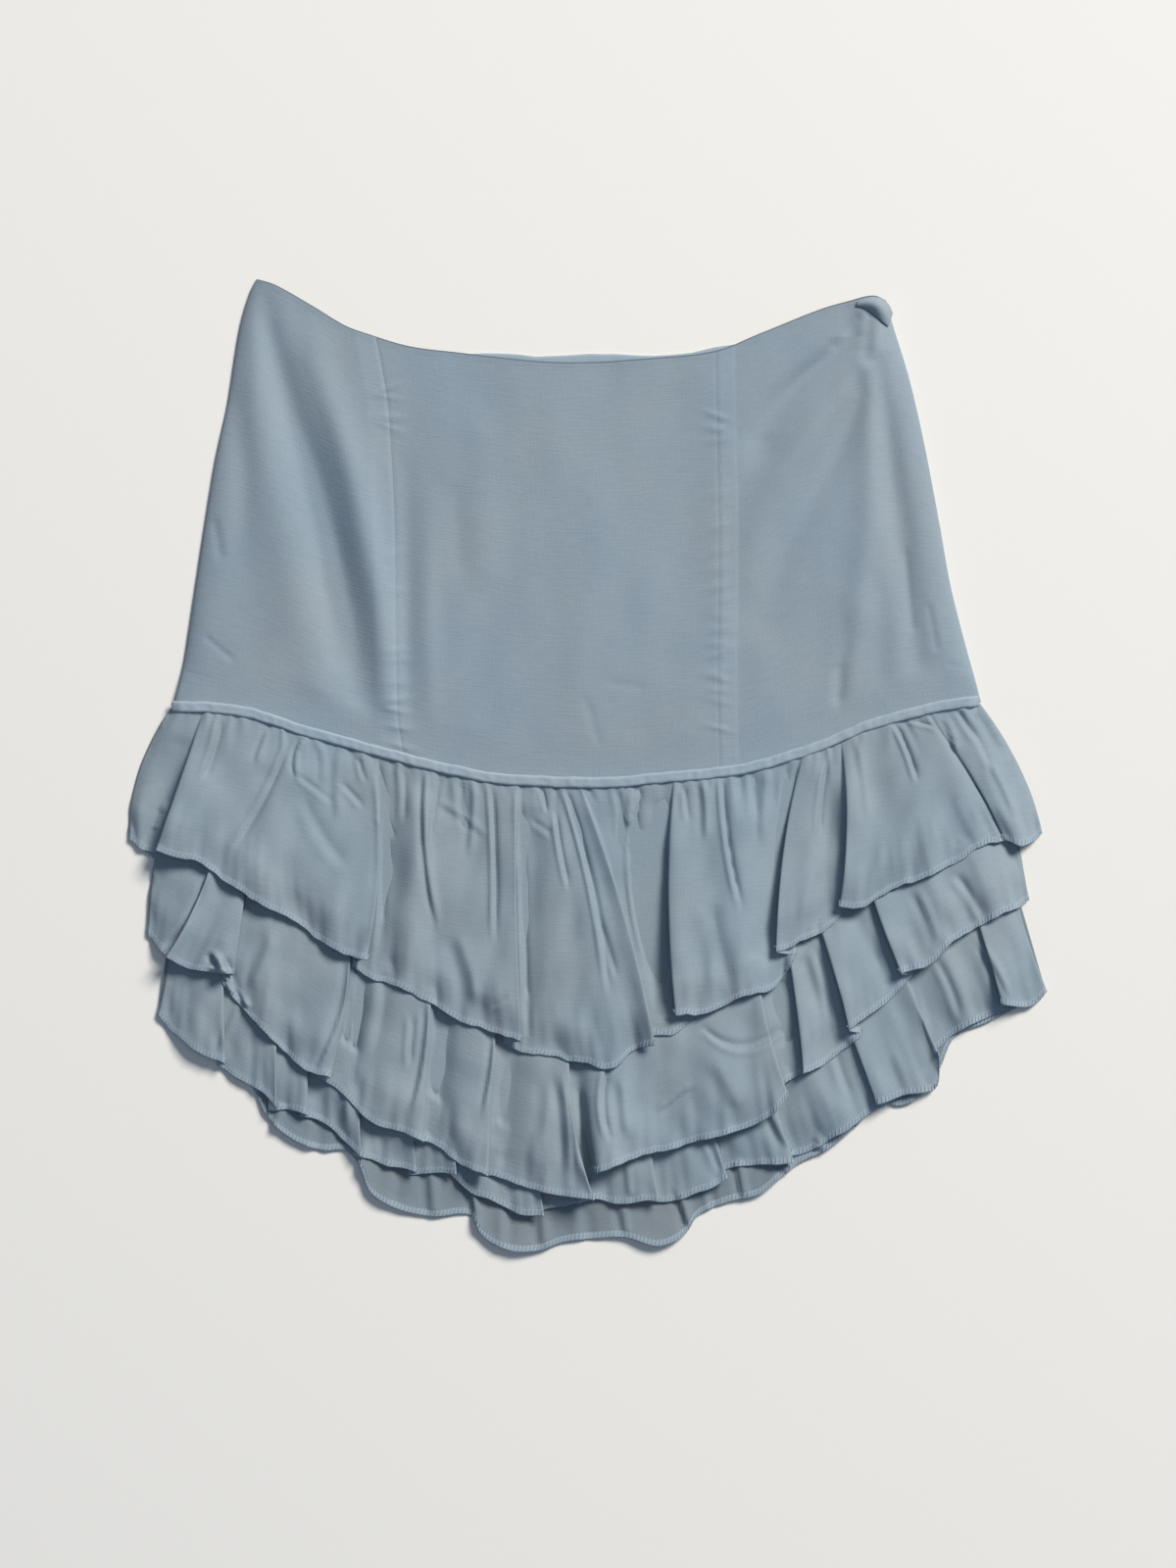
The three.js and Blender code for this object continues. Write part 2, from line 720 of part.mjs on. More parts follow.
// Rows of the yoke from the seam up, closer where the cloth climbs over the seam
const YOKE_ROWS = [0, 0.035, 0.07, 0.12, 0.2, 0.3, 0.4, 0.5, 0.6, 0.7, 0.8, 0.9, 1];
// Columns of a side panel, closer where it turns down at the side edge
const TURN_COLUMNS = [0, 0.02, 0.06, 0.12, 0.2, 0.29, 0.38, 0.47, 0.56, 0.65, 0.74, 0.83, 0.92, 1];
const BACK_YOKE_ROWS = [0, 0.02, 0.045, 0.5, 1];
const halfGap = SEAM_GAP / 2;
const yokeFoot = (x) => yokeSeam(x) + halfGap + CURVE_ROOM;

const frontPanel = (left, right, across) =>
  panel({
    left,
    right,
    lower: yokeFoot,
    upper: frontWaist,
    across,
    along: YOKE_ROWS,
    height: frontYokeHeight,
  });

const backYoke = panel({
  left: shifted(leftSide, halfGap),
  right: shifted(rightSide, -halfGap),
  lower: yokeFoot,
  upper: backWaist,
  across: evenly(30),
  along: BACK_YOKE_ROWS,
  height: backYokeHeight,
});

// The panels that carry the second and third tiers, a little narrower than the tiers
const BASE_LEFT = through([
  [-80, -222],
  [30, -226],
]);
const BASE_RIGHT = through([
  [-50, 225],
  [-20, 225],
  [35, 211],
]);
const thirdSeam = through(THIRD_SEAM);
const basePanel = (height) =>
  panel({
    left: BASE_LEFT,
    right: BASE_RIGHT,
    lower: (x) => thirdSeam(x) - BASE_REACH,
    upper: (x) => yokeSeam(x) - SEAM_GAP,
    across: evenly(16),
    along: [0, 0.5, 1],
    height: () => height,
  });

// The tip of the waist edge, folded over on itself at the right corner: a short soft roll on the
// yoke that widens towards the corner. Each section across it is a low arch.
const CORNER_COLUMNS = ["x", "y", "width", "rise"];
const CORNER_FOLD = [
  [149.5, 257, 2.5, 0.3],
  [154, 257, 5, 1],
  [158.5, 255.8, 8, 1.8],
  [162.5, 253.6, 10, 2.2],
  [165.6, 250.6, 10.5, 2],
  [168, 247.4, 8, 0.9],
];
const CORNER_LEAN = 0.35; // how far the roll's sections lean towards the corner
const cornerFold = read(CORNER_COLUMNS, CORNER_FOLD).map(({ x, y, width, rise }) =>
  evenly(6).map((part) => {
    const across = (part - 0.5) * width;
    const [px, py] = [x + across * CORNER_LEAN, y + across];
    const arch = rise * Math.sin(Math.PI * part);
    return [px, py, frontYokeHeight(px, py) + LAYER + arch];
  }),
);

const skirt = new THREE.Group();
const frontUp = (x) => seamHeight(x, ...FRONT_ENDS) + LAYER + BINDING_LIFT;
const stripRows = [-BINDING_BELOW, BINDING_WIDTH - BINDING_BELOW];
skirt.add(
  piece("yoke_back", backYoke, YOKE_BLUE),
  piece(
    "yoke_front_left",
    frontPanel(leftSide, shifted(leftPrincess, -halfGap), TURN_COLUMNS),
    YOKE_BLUE,
  ),
  piece(
    "yoke_front_centre",
    frontPanel(shifted(leftPrincess, halfGap), shifted(rightPrincess, -halfGap), evenly(16)),
    YOKE_BLUE,
  ),
  piece(
    "yoke_front_right",
    frontPanel(
      shifted(rightPrincess, halfGap),
      rightSide,
      TURN_COLUMNS.map((u) => 1 - u).reverse(),
    ),
    YOKE_BLUE,
  ),
  piece("waist_corner_fold", cornerFold, YOKE_BLUE),
  piece("binding_front", seamStrip(stripRows, frontUp), BINDING_BLUE, BINDING_CLOTH),
  piece(
    "binding_back",
    seamStrip(stripRows, () => level(0)),
    BINDING_BLUE,
  ),
  piece("base_front", basePanel(level(3)), INSIDE_BLUE),
  piece("base_back", basePanel(level(2)), INSIDE_BLUE),
  piece("ruffle_front_1", frontTier(FRONT_1), RUFFLE_BLUE),
  piece("ruffle_front_2", frontTier(FRONT_2), RUFFLE_BLUE),
  piece("ruffle_front_3", frontTier(FRONT_3), RUFFLE_BLUE),
  piece("ruffle_back_1", backTier(BACK_1), INSIDE_BLUE),
  piece("ruffle_back_2", backTier(BACK_2), INSIDE_BLUE),
  piece("ruffle_back_3", backTier(BACK_3), INSIDE_BLUE),
);

export default skirt;
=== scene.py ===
"""A ruffled mini skirt laid flat on its back: a fitted yoke of panels, a bias binding on its curved
seam, and three gathered tiers front and back with overlocked hems. Sizes are in millimetres, and
only the finished meshes are turned to metres. X runs across the skirt, Y from hem to waist."""

import bpy
import numpy as np
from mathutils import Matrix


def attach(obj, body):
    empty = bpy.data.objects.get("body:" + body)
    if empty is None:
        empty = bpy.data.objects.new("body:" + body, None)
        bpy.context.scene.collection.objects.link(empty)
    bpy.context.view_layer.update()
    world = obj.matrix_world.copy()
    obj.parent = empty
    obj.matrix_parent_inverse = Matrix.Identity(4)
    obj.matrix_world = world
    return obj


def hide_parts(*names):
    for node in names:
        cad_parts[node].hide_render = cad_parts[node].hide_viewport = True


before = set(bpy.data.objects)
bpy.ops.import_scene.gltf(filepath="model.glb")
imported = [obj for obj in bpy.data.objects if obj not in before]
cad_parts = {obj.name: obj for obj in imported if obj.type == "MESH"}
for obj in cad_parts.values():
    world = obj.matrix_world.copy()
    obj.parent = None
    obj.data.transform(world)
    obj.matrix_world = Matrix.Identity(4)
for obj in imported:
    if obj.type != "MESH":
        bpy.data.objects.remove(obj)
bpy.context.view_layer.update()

# Cloth and seams
MM = 0.001
CLOTH = 0.45  # thickness of one layer of the real cloth
SOLID = 1.0  # thickness of the walls that stand for it in the frame
LAYER = SOLID + 0.3  # rise from one lying layer to the next
BINDING_WIDTH = 6.0
BINDING_BELOW = 2.0  # how much of its width lies below the seam
BINDING_ENDS = (-232.8, 218.8)
BINDING_CLOTH = 0.5
FRONT_BINDING_RISE = 1.15  # how far its section arches up
BACK_BINDING_RISE = 0.85
FRONT_BINDING_LIFT = 0.5  # its edges over the front's seam
BACK_BINDING_LEVEL = 1.5
HEM_BAND = 4.0  # width of the overlocked edge
HEM_THICK = 0.6
WAIST_TURN = 5.0  # width of the turned waist edge
WAIST_THICKER = 0.3
BACK_WAIST_RISE = 0.17
BACK_WAIST_HIGHLIGHT = 3.2  # painted highlight on the strip of the back's waist in sight, as so many steps of lightening
BACK_WAIST_WAVE = 0.6
BACK_WAIST_REACH = 20  # the wave in the back's edge fades out this far down
PANEL_GAP = 0.004  # half the gap between two panels on their seam
NO_EDGE = 9  # a distance to an edge that is past every band along one
ALLOWANCE_LEFT = 14.0  # pressed allowance beside the left princess seam
ALLOWANCE_RIGHT = 11.5
ALLOWANCE_STEP = 0.18
SEAM_GROOVE = 0.16
SEAM_CLEAR = 0.3  # space between a seam and each piece sewn to it
CLEAR = 0.15  # least space between two layers that lie on each other
REST_SOFT = 0.35  # how softly a layer lands on the one beneath
TABLE_LIE = 0.25  # the thin cloth lies this much lower than the middle of the back's walls
SIDE_MEET = 0.42  # the back's side edge lies this much under the front's

# Tiers
FOLD_STEP = 1.5  # cloth taken up at the seam by a fold's hidden edge
SIDE_FALL = 7.0
SIDE_DROP = 2.3
TIER_RISE = 1.15
RELIEF_RISE = 0.75
RELIEF = 1.3  # how much further than in the tables the folds stand from a tier's mean height
TUCK_START = 0.12  # share of the way down where a knife fold starts to open
FOLD_WIDTH = 0.6  # share of its width in the table that a fold takes up once pressed
FOLD_HEIGHT = 1.5
FOLDS_FROM = 8  # a front tier's folds are full this far below its seam
REST_FROM = 12
SWELLS_FROM = 30
DROOP_REACH = 22  # how far above the hem it starts to droop
LOOSE_REACH = 45  # how far above the hem its uneven edge starts

# Back tiers
BACK_SEAM_TUCK = 0.15
DIP_ROOM = 0.8  # lifts the lying cloth, so that its dips stay above the table
HEM_LIFT = 0.6
HEM_LIFT_REACH = 9
SIDE_REACH = 6  # the back rises to the front's side edge over this width

# Yoke
YOKE_LEVEL = 6.2
YOKE_LOWEST = 1.7  # the back yoke lies below this, so the front's troughs stay above it
YOKE_SOFT = 0.5  # how softly a trough ends at that height
DRAPE_FADE = 25  # a long drape fades out this far past its ends
YOKE_SIDE_TURN = 16.0
YOKE_SEAM_RISE = 22.0
BASE_REACH = 4.0
BASE_ENDS = (-223.0, 218.0)
EDGE_HOLD = 0.001  # share of a panel's width between its edge and its next column of points

# Overlock stitches: where their five sections lie along them, how high and how thick each is
STITCH_ALONG = (-0.1, 0.15, 0.5, 0.85, 1.0)
STITCH_LIFT = (-0.2, 0.3, 0.38, 0.34, 0.1)
STITCH_THICK = (0.8, 1, 1, 1, 0.7)


def level(n):
    """Middle height of the nth lying layer above the table."""
    return SOLID / 2 + n * LAYER


FRONT_SEAM_LEVEL = level(4)

LEFT_SIDE = [  # y, x
    (28, -233),
    (52, -227.5),
    (99, -220.2),
    (135, -214.8),
    (172, -208.7),
    (203, -202),
    (246, -195),
    (266, -189.2),
    (274, -184.8),
]
RIGHT_SIDE = [  # y, x
    (33, 220.6),
    (52, 215.7),
    (99, 203.6),
    (136, 196.9),
    (180, 188.5),
    (217, 180),
    (248, 170.5),
    (262, 166.5),
]
LEFT_PRINCESS = [  # y, x
    (8, -103.5),
    (27, -106.2),
    (78, -107.2),
    (135, -108),
    (190, -110.8),
    (208, -112.6),
    (242, -119),
]
RIGHT_PRINCESS = [  # y, x
    (0, 73.6),
    (43, 72.7),
    (130, 73.2),
    (180, 72.3),
    (232, 71.4),
]
FRONT_WAIST = [  # x, y
    (-185, 272.3),
    (-174.6, 268.7),
    (-154.6, 257.4),
    (-136.4, 246.4),
    (-123.5, 241.5),
    (-99.8, 234.5),
    (-72.6, 231),
    (-27, 226.1),
    (0.5, 225.6),
    (36.9, 228),
    (71.4, 231.9),
    (95.9, 241.5),
    (129.5, 255),
    (146.3, 260),
    (159.8, 263),
    (167.8, 260.2),
]
BACK_WAIST = [  # x, y
    (-185, 271.3),
    (-154.6, 256),
    (-123.5, 240.5),
    (-90, 232.5),
    (-58, 230.4),
    (-20, 230.2),
    (20, 230.4),
    (50, 231),
    (95.9, 239),
    (129.5, 252),
    (159.8, 261),
    (167.8, 258.5),
]
YOKE_SEAM = [  # x, y
    (-234, 32),
    (-212, 31.4),
    (-198, 29.9),
    (-184, 26.6),
    (-147, 15),
    (-105, 3.6),
    (-63, -6.5),
    (-20, -10.3),
    (16, -10.2),
    (60, -6.2),
    (92, -2),
    (129, 9.8),
    (160, 22.2),
    (196, 31.8),
    (220, 35),
]
SECOND_SEAM = [  # x, y
    (-238, -22),
    (-190, -43),
    (-120, -84),
    (-50, -123),
    (0, -138),
    (50, -121),
    (110, -82),
    (150, -50),
    (190, -30),
    (238, -10),
]
THIRD_SEAM = [  # x, y
    (-234, -79),
    (-190, -103),
    (-135, -158),
    (-70, -194),
    (0, -211),
    (50, -190),
    (100, -167),
    (150, -122),
    (200, -80),
    (238, -58),
]

# Stations of the front tiers from left to right: where each leaves the seam, where it ends at
# the hem, how far it swings sideways half way, and the knife fold's tuck under it (to its left
# if positive, to its right if negative).
STATION = ("seam_x", "hem_x", "hem_y", "hem_z", "bow", "tuck")
FRONT_1 = [
    (-234, -257, -42, 2.2, -7, 0),
    (-230, -252, -46, 7, -6, 0),
    (-225, -243, -50, 8.5, -3, 0),
    (-214, -242, -47, 17, 0, -10),
    (-200, -216, -55.5, 15, 0, 0),
    (-180, -191.4, -71, 17, 0, 0),
    (-160, -158.8, -92.2, 15, 0, 0),
    (-140, -143, -101.2, 16.5, 2, 0),
    (-119.5, -122.5, -110.5, 19, 5, 10),
    (-112, -119, -117.5, 11.6, 4, 0),
    (-99, -104.6, -126.4, 13.5, 3, 0),
    (-84, -87.6, -133.4, 12.5, 0, 0),
    (-70, -74.3, -141.6, 14.5, 0, 0),
    (-55, -50.3, -150.4, 16, 0, 0),
    (-41, -36.4, -153.5, 18.5, -1, 12),
    (-34, -40, -158.5, 11.5, 0, 0),
    (-27, -30, -162.5, 13.5, 0, 0),
    (-20, -17, -163.6, 12.5, 0, 0),
    (-15, -3.6, -166.5, 14, 0, 0),
    (-11, 13.5, -169.8, 16, 0, 0),
    (-8, 27, -158.5, 15, 3, 0),
    (-5, 38, -154.8, 19.5, 4, 11),
    (10, 38, -150.5, 10.4, 0, 0),
    (30, 52, -147, 10.4, 0, 0),
    (49, 48, -141.1, 20.5, -4, -12),
    (60, 60.7, -138.8, 15.5, 0, 0),
    (75, 82, -132.1, 16.5, 0, 0),
    (90, 96, -126.5, 14, 0, 0),
    (108, 109, -117.5, 11.6, 0, 0),
    (121.3, 104, -105.5, 18.5, -4, -13),
    (125, 113, -103.5, 16, -2, 0),
    (130, 123.3, -96.1, 15.5, 0, 0),
    (136, 136, -89.4, 12.5, 0, 0),
    (142.6, 139.3, -78, 18.5, 3, -10),
    (155, 154.7, -76.2, 15, 2, 0),
    (168, 179.4, -66.4, 16.5, 2, 0),
    (181, 207, -54, 13.5, 2, 0),
    (188, 225.5, -43.5, 13.4, 2, 0),
    (191.2, 232, -40.5, 13.4, 2, -3.5),
    (203, 240.5, -44, 15, 3, 0),
    (212, 249, -42, 9.5, 4, 0),
    (219.6, 254.7, -37.5, 2.2, 5, 0),
]
FRONT_2 = [
    (-237, -246.8, -94, 2.4, -2, 0),
    (-232, -241, -101, 7, 0, 0),
    (-227, -236, -106, 9.5, 0, 0),
    (-205, -236, -105.5, 15.5, 4, -10),
    (-201, -224, -114.4, 14, 2, 0),
    (-196, -210, -117.5, 16, 2, 0),
    (-190, -197, -119, 16.5, 1, 9),
    (-182, -196, -131.5, 10.4, 0, 0),
    (-172, -181, -148.1, 13, 0, 0),
    (-160, -163, -164.9, 12.5, 0, 0),
    (-133, -143, -176.5, 16.5, 4, 9),
    (-124, -137, -184.5, 10.4, 2, 0),
    (-114, -123.7, -195.7, 12.5, 0, 0),
    (-103, -104, -205, 13.5, 0, 0),
    (-87, -91, -210.5, 16.5, 0, 9),
    (-79, -85, -213.5, 10.4, 0, 0),
    (-69, -72, -222, 13, 0, 0),
    (-51, -55, -228.2, 16.5, 0, 9),
    (-43, -50, -230.8, 10.4, 0, 0),
    (-34, -31.4, -236.1, 13.5, 0, 0),
    (-24, -14, -242.5, 15, 0, 0),
    (-10, 4.5, -244.8, 18, -6, 11),
    (-3, 0.5, -227.5, 9.8, -5, 0),
    (3, 5, -226.5, 17.5, -3, 0),
    (24, 36, -216.5, 14.5, 0, 0),
    (40, 56, -212, 13, 0, 0),
    (58, 78.1, -205.6, 16, 0, 0),
    (78, 100.6, -196.1, 15.5, 0, 0),
    (92, 112.4, -183, 17.5, -3, 10),
    (102, 112, -177, 10.4, -2, 0),
    (109, 119.5, -172.5, 17, 1, -6),
    (117, 136, -162.5, 11.5, 0, 0),
    (124, 144.9, -150.5, 17, 1, -9),
    (134, 154.6, -141.7, 14, 0, 0),
    (144, 170, -130, 11.5, 0, 0),
    (153, 174, -117, 17, -2, -9),
    (166, 192.1, -109, 14.5, 0, 0),
    (178, 202, -99.5, 15.5, 0, 0),
    (190, 212, -94, 12, 0, 0),
    (206, 231, -83.5, 14.5, 0, 0),
    (220, 241, -80, 9, 0, 0),
    (236, 247.4, -74.5, 2.4, -1, 0),
]
FRONT_3 = [
    (-233, -241.3, -141, 2.4, 2, 0),
    (-229, -236, -147.8, 5, 1, 0),
    (-221, -223, -157, 7, 0, 0),
    (-205, -202, -168, 9.5, 0, 7),
    (-192, -199, -174.5, 4.9, 0, 0),
    (-184, -183, -183, 7, 0, 0),
    (-175, -173, -191, 9.5, 0, 7),
    (-166, -170, -192.5, 4.9, 0, 0),
    (-157, -156, -196, 9.5, 0, 6),
    (-149, -151, -200, 4.9, 0, 0),
    (-139, -136, -210.4, 7, 0, 0),
    (-129, -126, -218, 9.5, 0, 7),
    (-120, -122, -219.8, 4.9, 0, 0),
    (-110, -108, -223.7, 7, 0, 0),
    (-100, -95, -227.5, 9.5, 0, 7),
    (-90, -90, -228.2, 4.9, 0, 0),
    (-76, -72.5, -229, 9.5, 0, 7),
    (-66, -70, -238, 4.9, 0, 0),
    (-56, -55, -244, 7, 0, 0),
    (-44, -42, -249, 6, 0, 0),
    (-30, -23.6, -250.8, 9.8, 0, 8),
    (-20, -18, -247.5, 4.9, 0, 0),
    (-8, -2, -243.8, 8, 0, 0),
    (6, 10, -243.6, 5.5, 0, 0),
    (18, 24, -244.2, 8.5, 0, 0),
    (32, 41, -244, 9.5, 0, 7),
    (42, 50, -244, 4.9, 0, 0),
    (52, 63, -238, 7.5, 0, 0),
    (64, 79, -229.3, 9.5, 0, 7),
    (73, 82, -224, 4.9, 0, 0),
    (84, 98, -224, 7.5, 0, 0),
    (97, 116, -221, 9.5, 0, 7),
    (107, 124, -217, 4.9, 0, 0),
    (118, 139, -210.2, 8, 0, 0),
    (129, 155, -197, 5.5, 0, 0),
    (140, 160.4, -187.5, 10, 0, -8),
    (150, 173.5, -184.3, 7, 0, 0),
    (158, 188.5, -183.2, 7, 0, 0),
    (164, 196.5, -177.5, 5.5, 0, 0),
    (171, 197, -162, 9.5, 0, 6),
    (180, 201, -153.5, 4.9, 0, 0),
    (192, 215.7, -145, 8, 0, 0),
    (203, 227, -139.5, 5.5, 0, 0),
    (214, 230.5, -133.5, 10.5, 0, -7),
    (223, 243, -133.7, 8, 0, 0),
    (230, 252, -132.4, 5, 0, 0),
    (237, 257.4, -127.5, 2.4, -2, 0),
]

# Stations of the back tiers: they lie pressed flat, but for the lobes of the lowest hem.
BACK_STATION = ("seam_x", "hem_x", "hem_y", "hem_z")
BACK_1 = [
    (-234, -256.6, -42, 0.5),
    (-226, -243, -52, 0.5),
    (-205, -218, -60, 0.5),
    (-180, -189, -77, 0.5),
    (-150, -156, -95, 0.5),
    (-120, -124, -111, 0.5),
    (-90, -93, -128, 0.5),
    (-60, -62, -146, 0.5),
    (-30, -31, -159, 0.5),
    (0, 0, -166, 0.5),
    (30, 31, -158, 0.5),
    (60, 63, -142, 0.5),
    (90, 95, -121, 0.5),
    (120, 125, -99, 0.5),
    (150, 156, -76, 0.5),
    (180, 190, -61, 0.5),
    (203, 222, -51, 0.5),
    (212, 240, -46, 0.5),
    (219.6, 254.3, -37.5, 0.5),
]
BACK_2 = [
    (-237, -246.4, -94, 0.5),
    (-226, -236, -102, 0.5),
    (-205, -213, -117, 0.5),
    (-180, -187, -138, 0.5),
    (-150, -156, -167, 0.5),
    (-120, -125, -194, 0.5),
    (-90, -93, -211, 0.5),
    (-60, -62, -226, 0.5),
    (-30, -31, -236, 0.5),
    (0, 0, -239, 0.5),
    (30, 32, -227, 0.5),
    (60, 64, -211, 0.5),
    (90, 96, -197, 0.5),
    (120, 128, -170, 0.5),
    (150, 160, -141, 0.5),
    (180, 193, -109, 0.5),
    (205, 221, -87, 0.5),
    (222, 236, -79, 0.5),
    (236, 247, -74.5, 0.5),
]
BACK_3 = [
    (-233, -240.9, -140.5, 0.5),
    (-222, -226, -150, 0.5),
    (-206, -205, -163, 0.5),
    (-190, -189, -179, 0.5),
    (-179, -179, -198, 1.5),
    (-168, -164, -210.5, 2.8),
    (-154, -148, -216, 0.8),
    (-142, -136, -216, 0.5),
    (-132, -128, -224, 2),
    (-122, -122, -239, 3.5),
    (-108, -107, -248.5, 2),
    (-90, -88, -253, 0.5),
    (-72, -65, -253.4, 0.5),
    (-62, -60, -262.5, 2.2),
    (-50, -44, -271.7, 4),
    (-34, -28, -272, 2),
    (-20, -14, -267.4, 0.5),
    (-2, 4, -265.3, 0.5),
    (14, 20, -264.4, 2),
    (32, 41, -269.2, 4),
    (46, 55, -262, 2),
    (56, 60, -254, 0.5),
    (68, 78, -245, 0.5),
    (84, 97, -240, 2.5),
    (97, 108.5, -230.5, 2.5),
    (108, 118, -223.3, 0.5),
    (122, 134, -215.4, 1.5),
    (134, 150, -202.5, 1),
    (146, 165, -189, 0.5),
    (152, 174.5, -191, 0.5),
    (164, 189, -182.5, 2.4),
    (174, 196.4, -171, 2.4),
    (188, 206, -152, 0.5),
    (206, 224, -144, 0.5),
    (222, 240, -136, 0.5),
    (237, 256.9, -127.5, 0.5),
]

# Soft troughs and ridges, each along a line from x0, y0 to x1, y1, with its width on each side
# and its height at the middle (negative for a trough).
YOKE_DRAPES = [  # x0, y0, x1, y1, width, height
    (-74, 150, -72, 112, 6, -0.6),
    (-60, 184, -58, 112, 11, 0.7),
    (-20, 190, -10, 60, 34, 0.6),
    (46, 200, 52, 60, 14, -0.6),
]
# Long drape folds of the yoke, each a curve with its own width and height on the way up
LONG_DRAPE = ("y", "x", "width", "height")
LONG_DRAPES = [
    [(30, -126, 10, -1.8), (82, -137, 11, -5.2), (120, -145, 11, -5.4), (163, -156, 11, -5.0),
     (205, -169, 9, -3.8), (250, -180, 7, -2.0)],
    [(30, -112, 6, 0.8), (82, -116, 8, 2.8), (112, -121, 9, 3.6), (150, -129, 9, 3.8),
     (184, -138, 9, 3.4), (228, -153, 10, 1.8)],
    [(40, -152, 12, 1.0), (112, -168, 12, 1.8), (196, -183, 9, 1.4), (250, -187, 6, 0.5)],
    [(120, -194, 8, -0.6), (160, -193, 8, -1.6), (196, -197, 8, -1.4)],
    [(24, -101, 5, -0.6), (80, -101.5, 6, -1.6), (156, -101, 6, -0.8)],
    [(24, -88, 6, 0.4), (80, -89, 6, 1.1), (140, -88, 6, 0.5)],
    [(60, 184, 7, -1.6), (100, 179, 8, -2.6), (150, 172, 8, -2.8), (187, 167, 7, -2.2),
     (216, 163, 5, -1.0)],
    [(90, 157, 9, 1.2), (150, 158, 8, 2.0), (202, 159, 7, 1.8), (232, 156, 5, 0.8)],
    [(40, 146, 7, 0.9), (90, 150, 8, 1.4), (118, 152, 9, 1.0)],
    [(24, 141, 3, -1.0), (40, 141.5, 4, -1.4), (70, 144, 5, -0.8)],
    [(50, 164, 7, -1.2), (85, 163, 7, -1.3), (110, 160, 6, -0.5)],
    [(110, 90, 9, 1.0), (150, 101, 11, 2.4), (190, 127, 11, 3.2), (232, 160, 7, 2.2)],
    [(186, 96, 10, -2.0), (213, 117, 9, -3.4), (240, 148, 7, -2.6)],
    [(84, 99, 9, -1.0), (130, 115, 10, -2.0), (170, 136, 9, -2.6), (206, 152, 6, -1.6)],
]
YOKE_CREASES = [  # x0, y0, x1, y1, width, height
    (-213, 71, -200, 60, 1.8, -0.55),
    (-225, 52, -211, 48, 1.8, -0.45),
    (-209, 135, -206, 118, 3, -0.8),
    (-1, 36, 6, 12, 1.8, -0.5),
    (-29, 6, -12, 5, 1.8, -0.4),
    (12, 46, 29, 44, 1.8, -0.3),
    (177.7, 118, 181.5, 77, 2.4, -0.8),
    (191, 88, 195, 66, 2, -0.5),
    (203, 56, 213, 54, 1.8, -0.4),
    (141, 54, 140, 37, 2.4, -0.9),
    (140, 37, 143, 22, 2.4, -0.8),
    (158, 253, 156, 228, 4, -1.8),
    (151, 250, 138, 236, 3, -0.9),
    (-150, 110, -142, 60, 5, -0.5),
    (60, 120, 40, 40, 18, -0.35),
    (-60, 205, -52, 150, 14, -0.35),
]
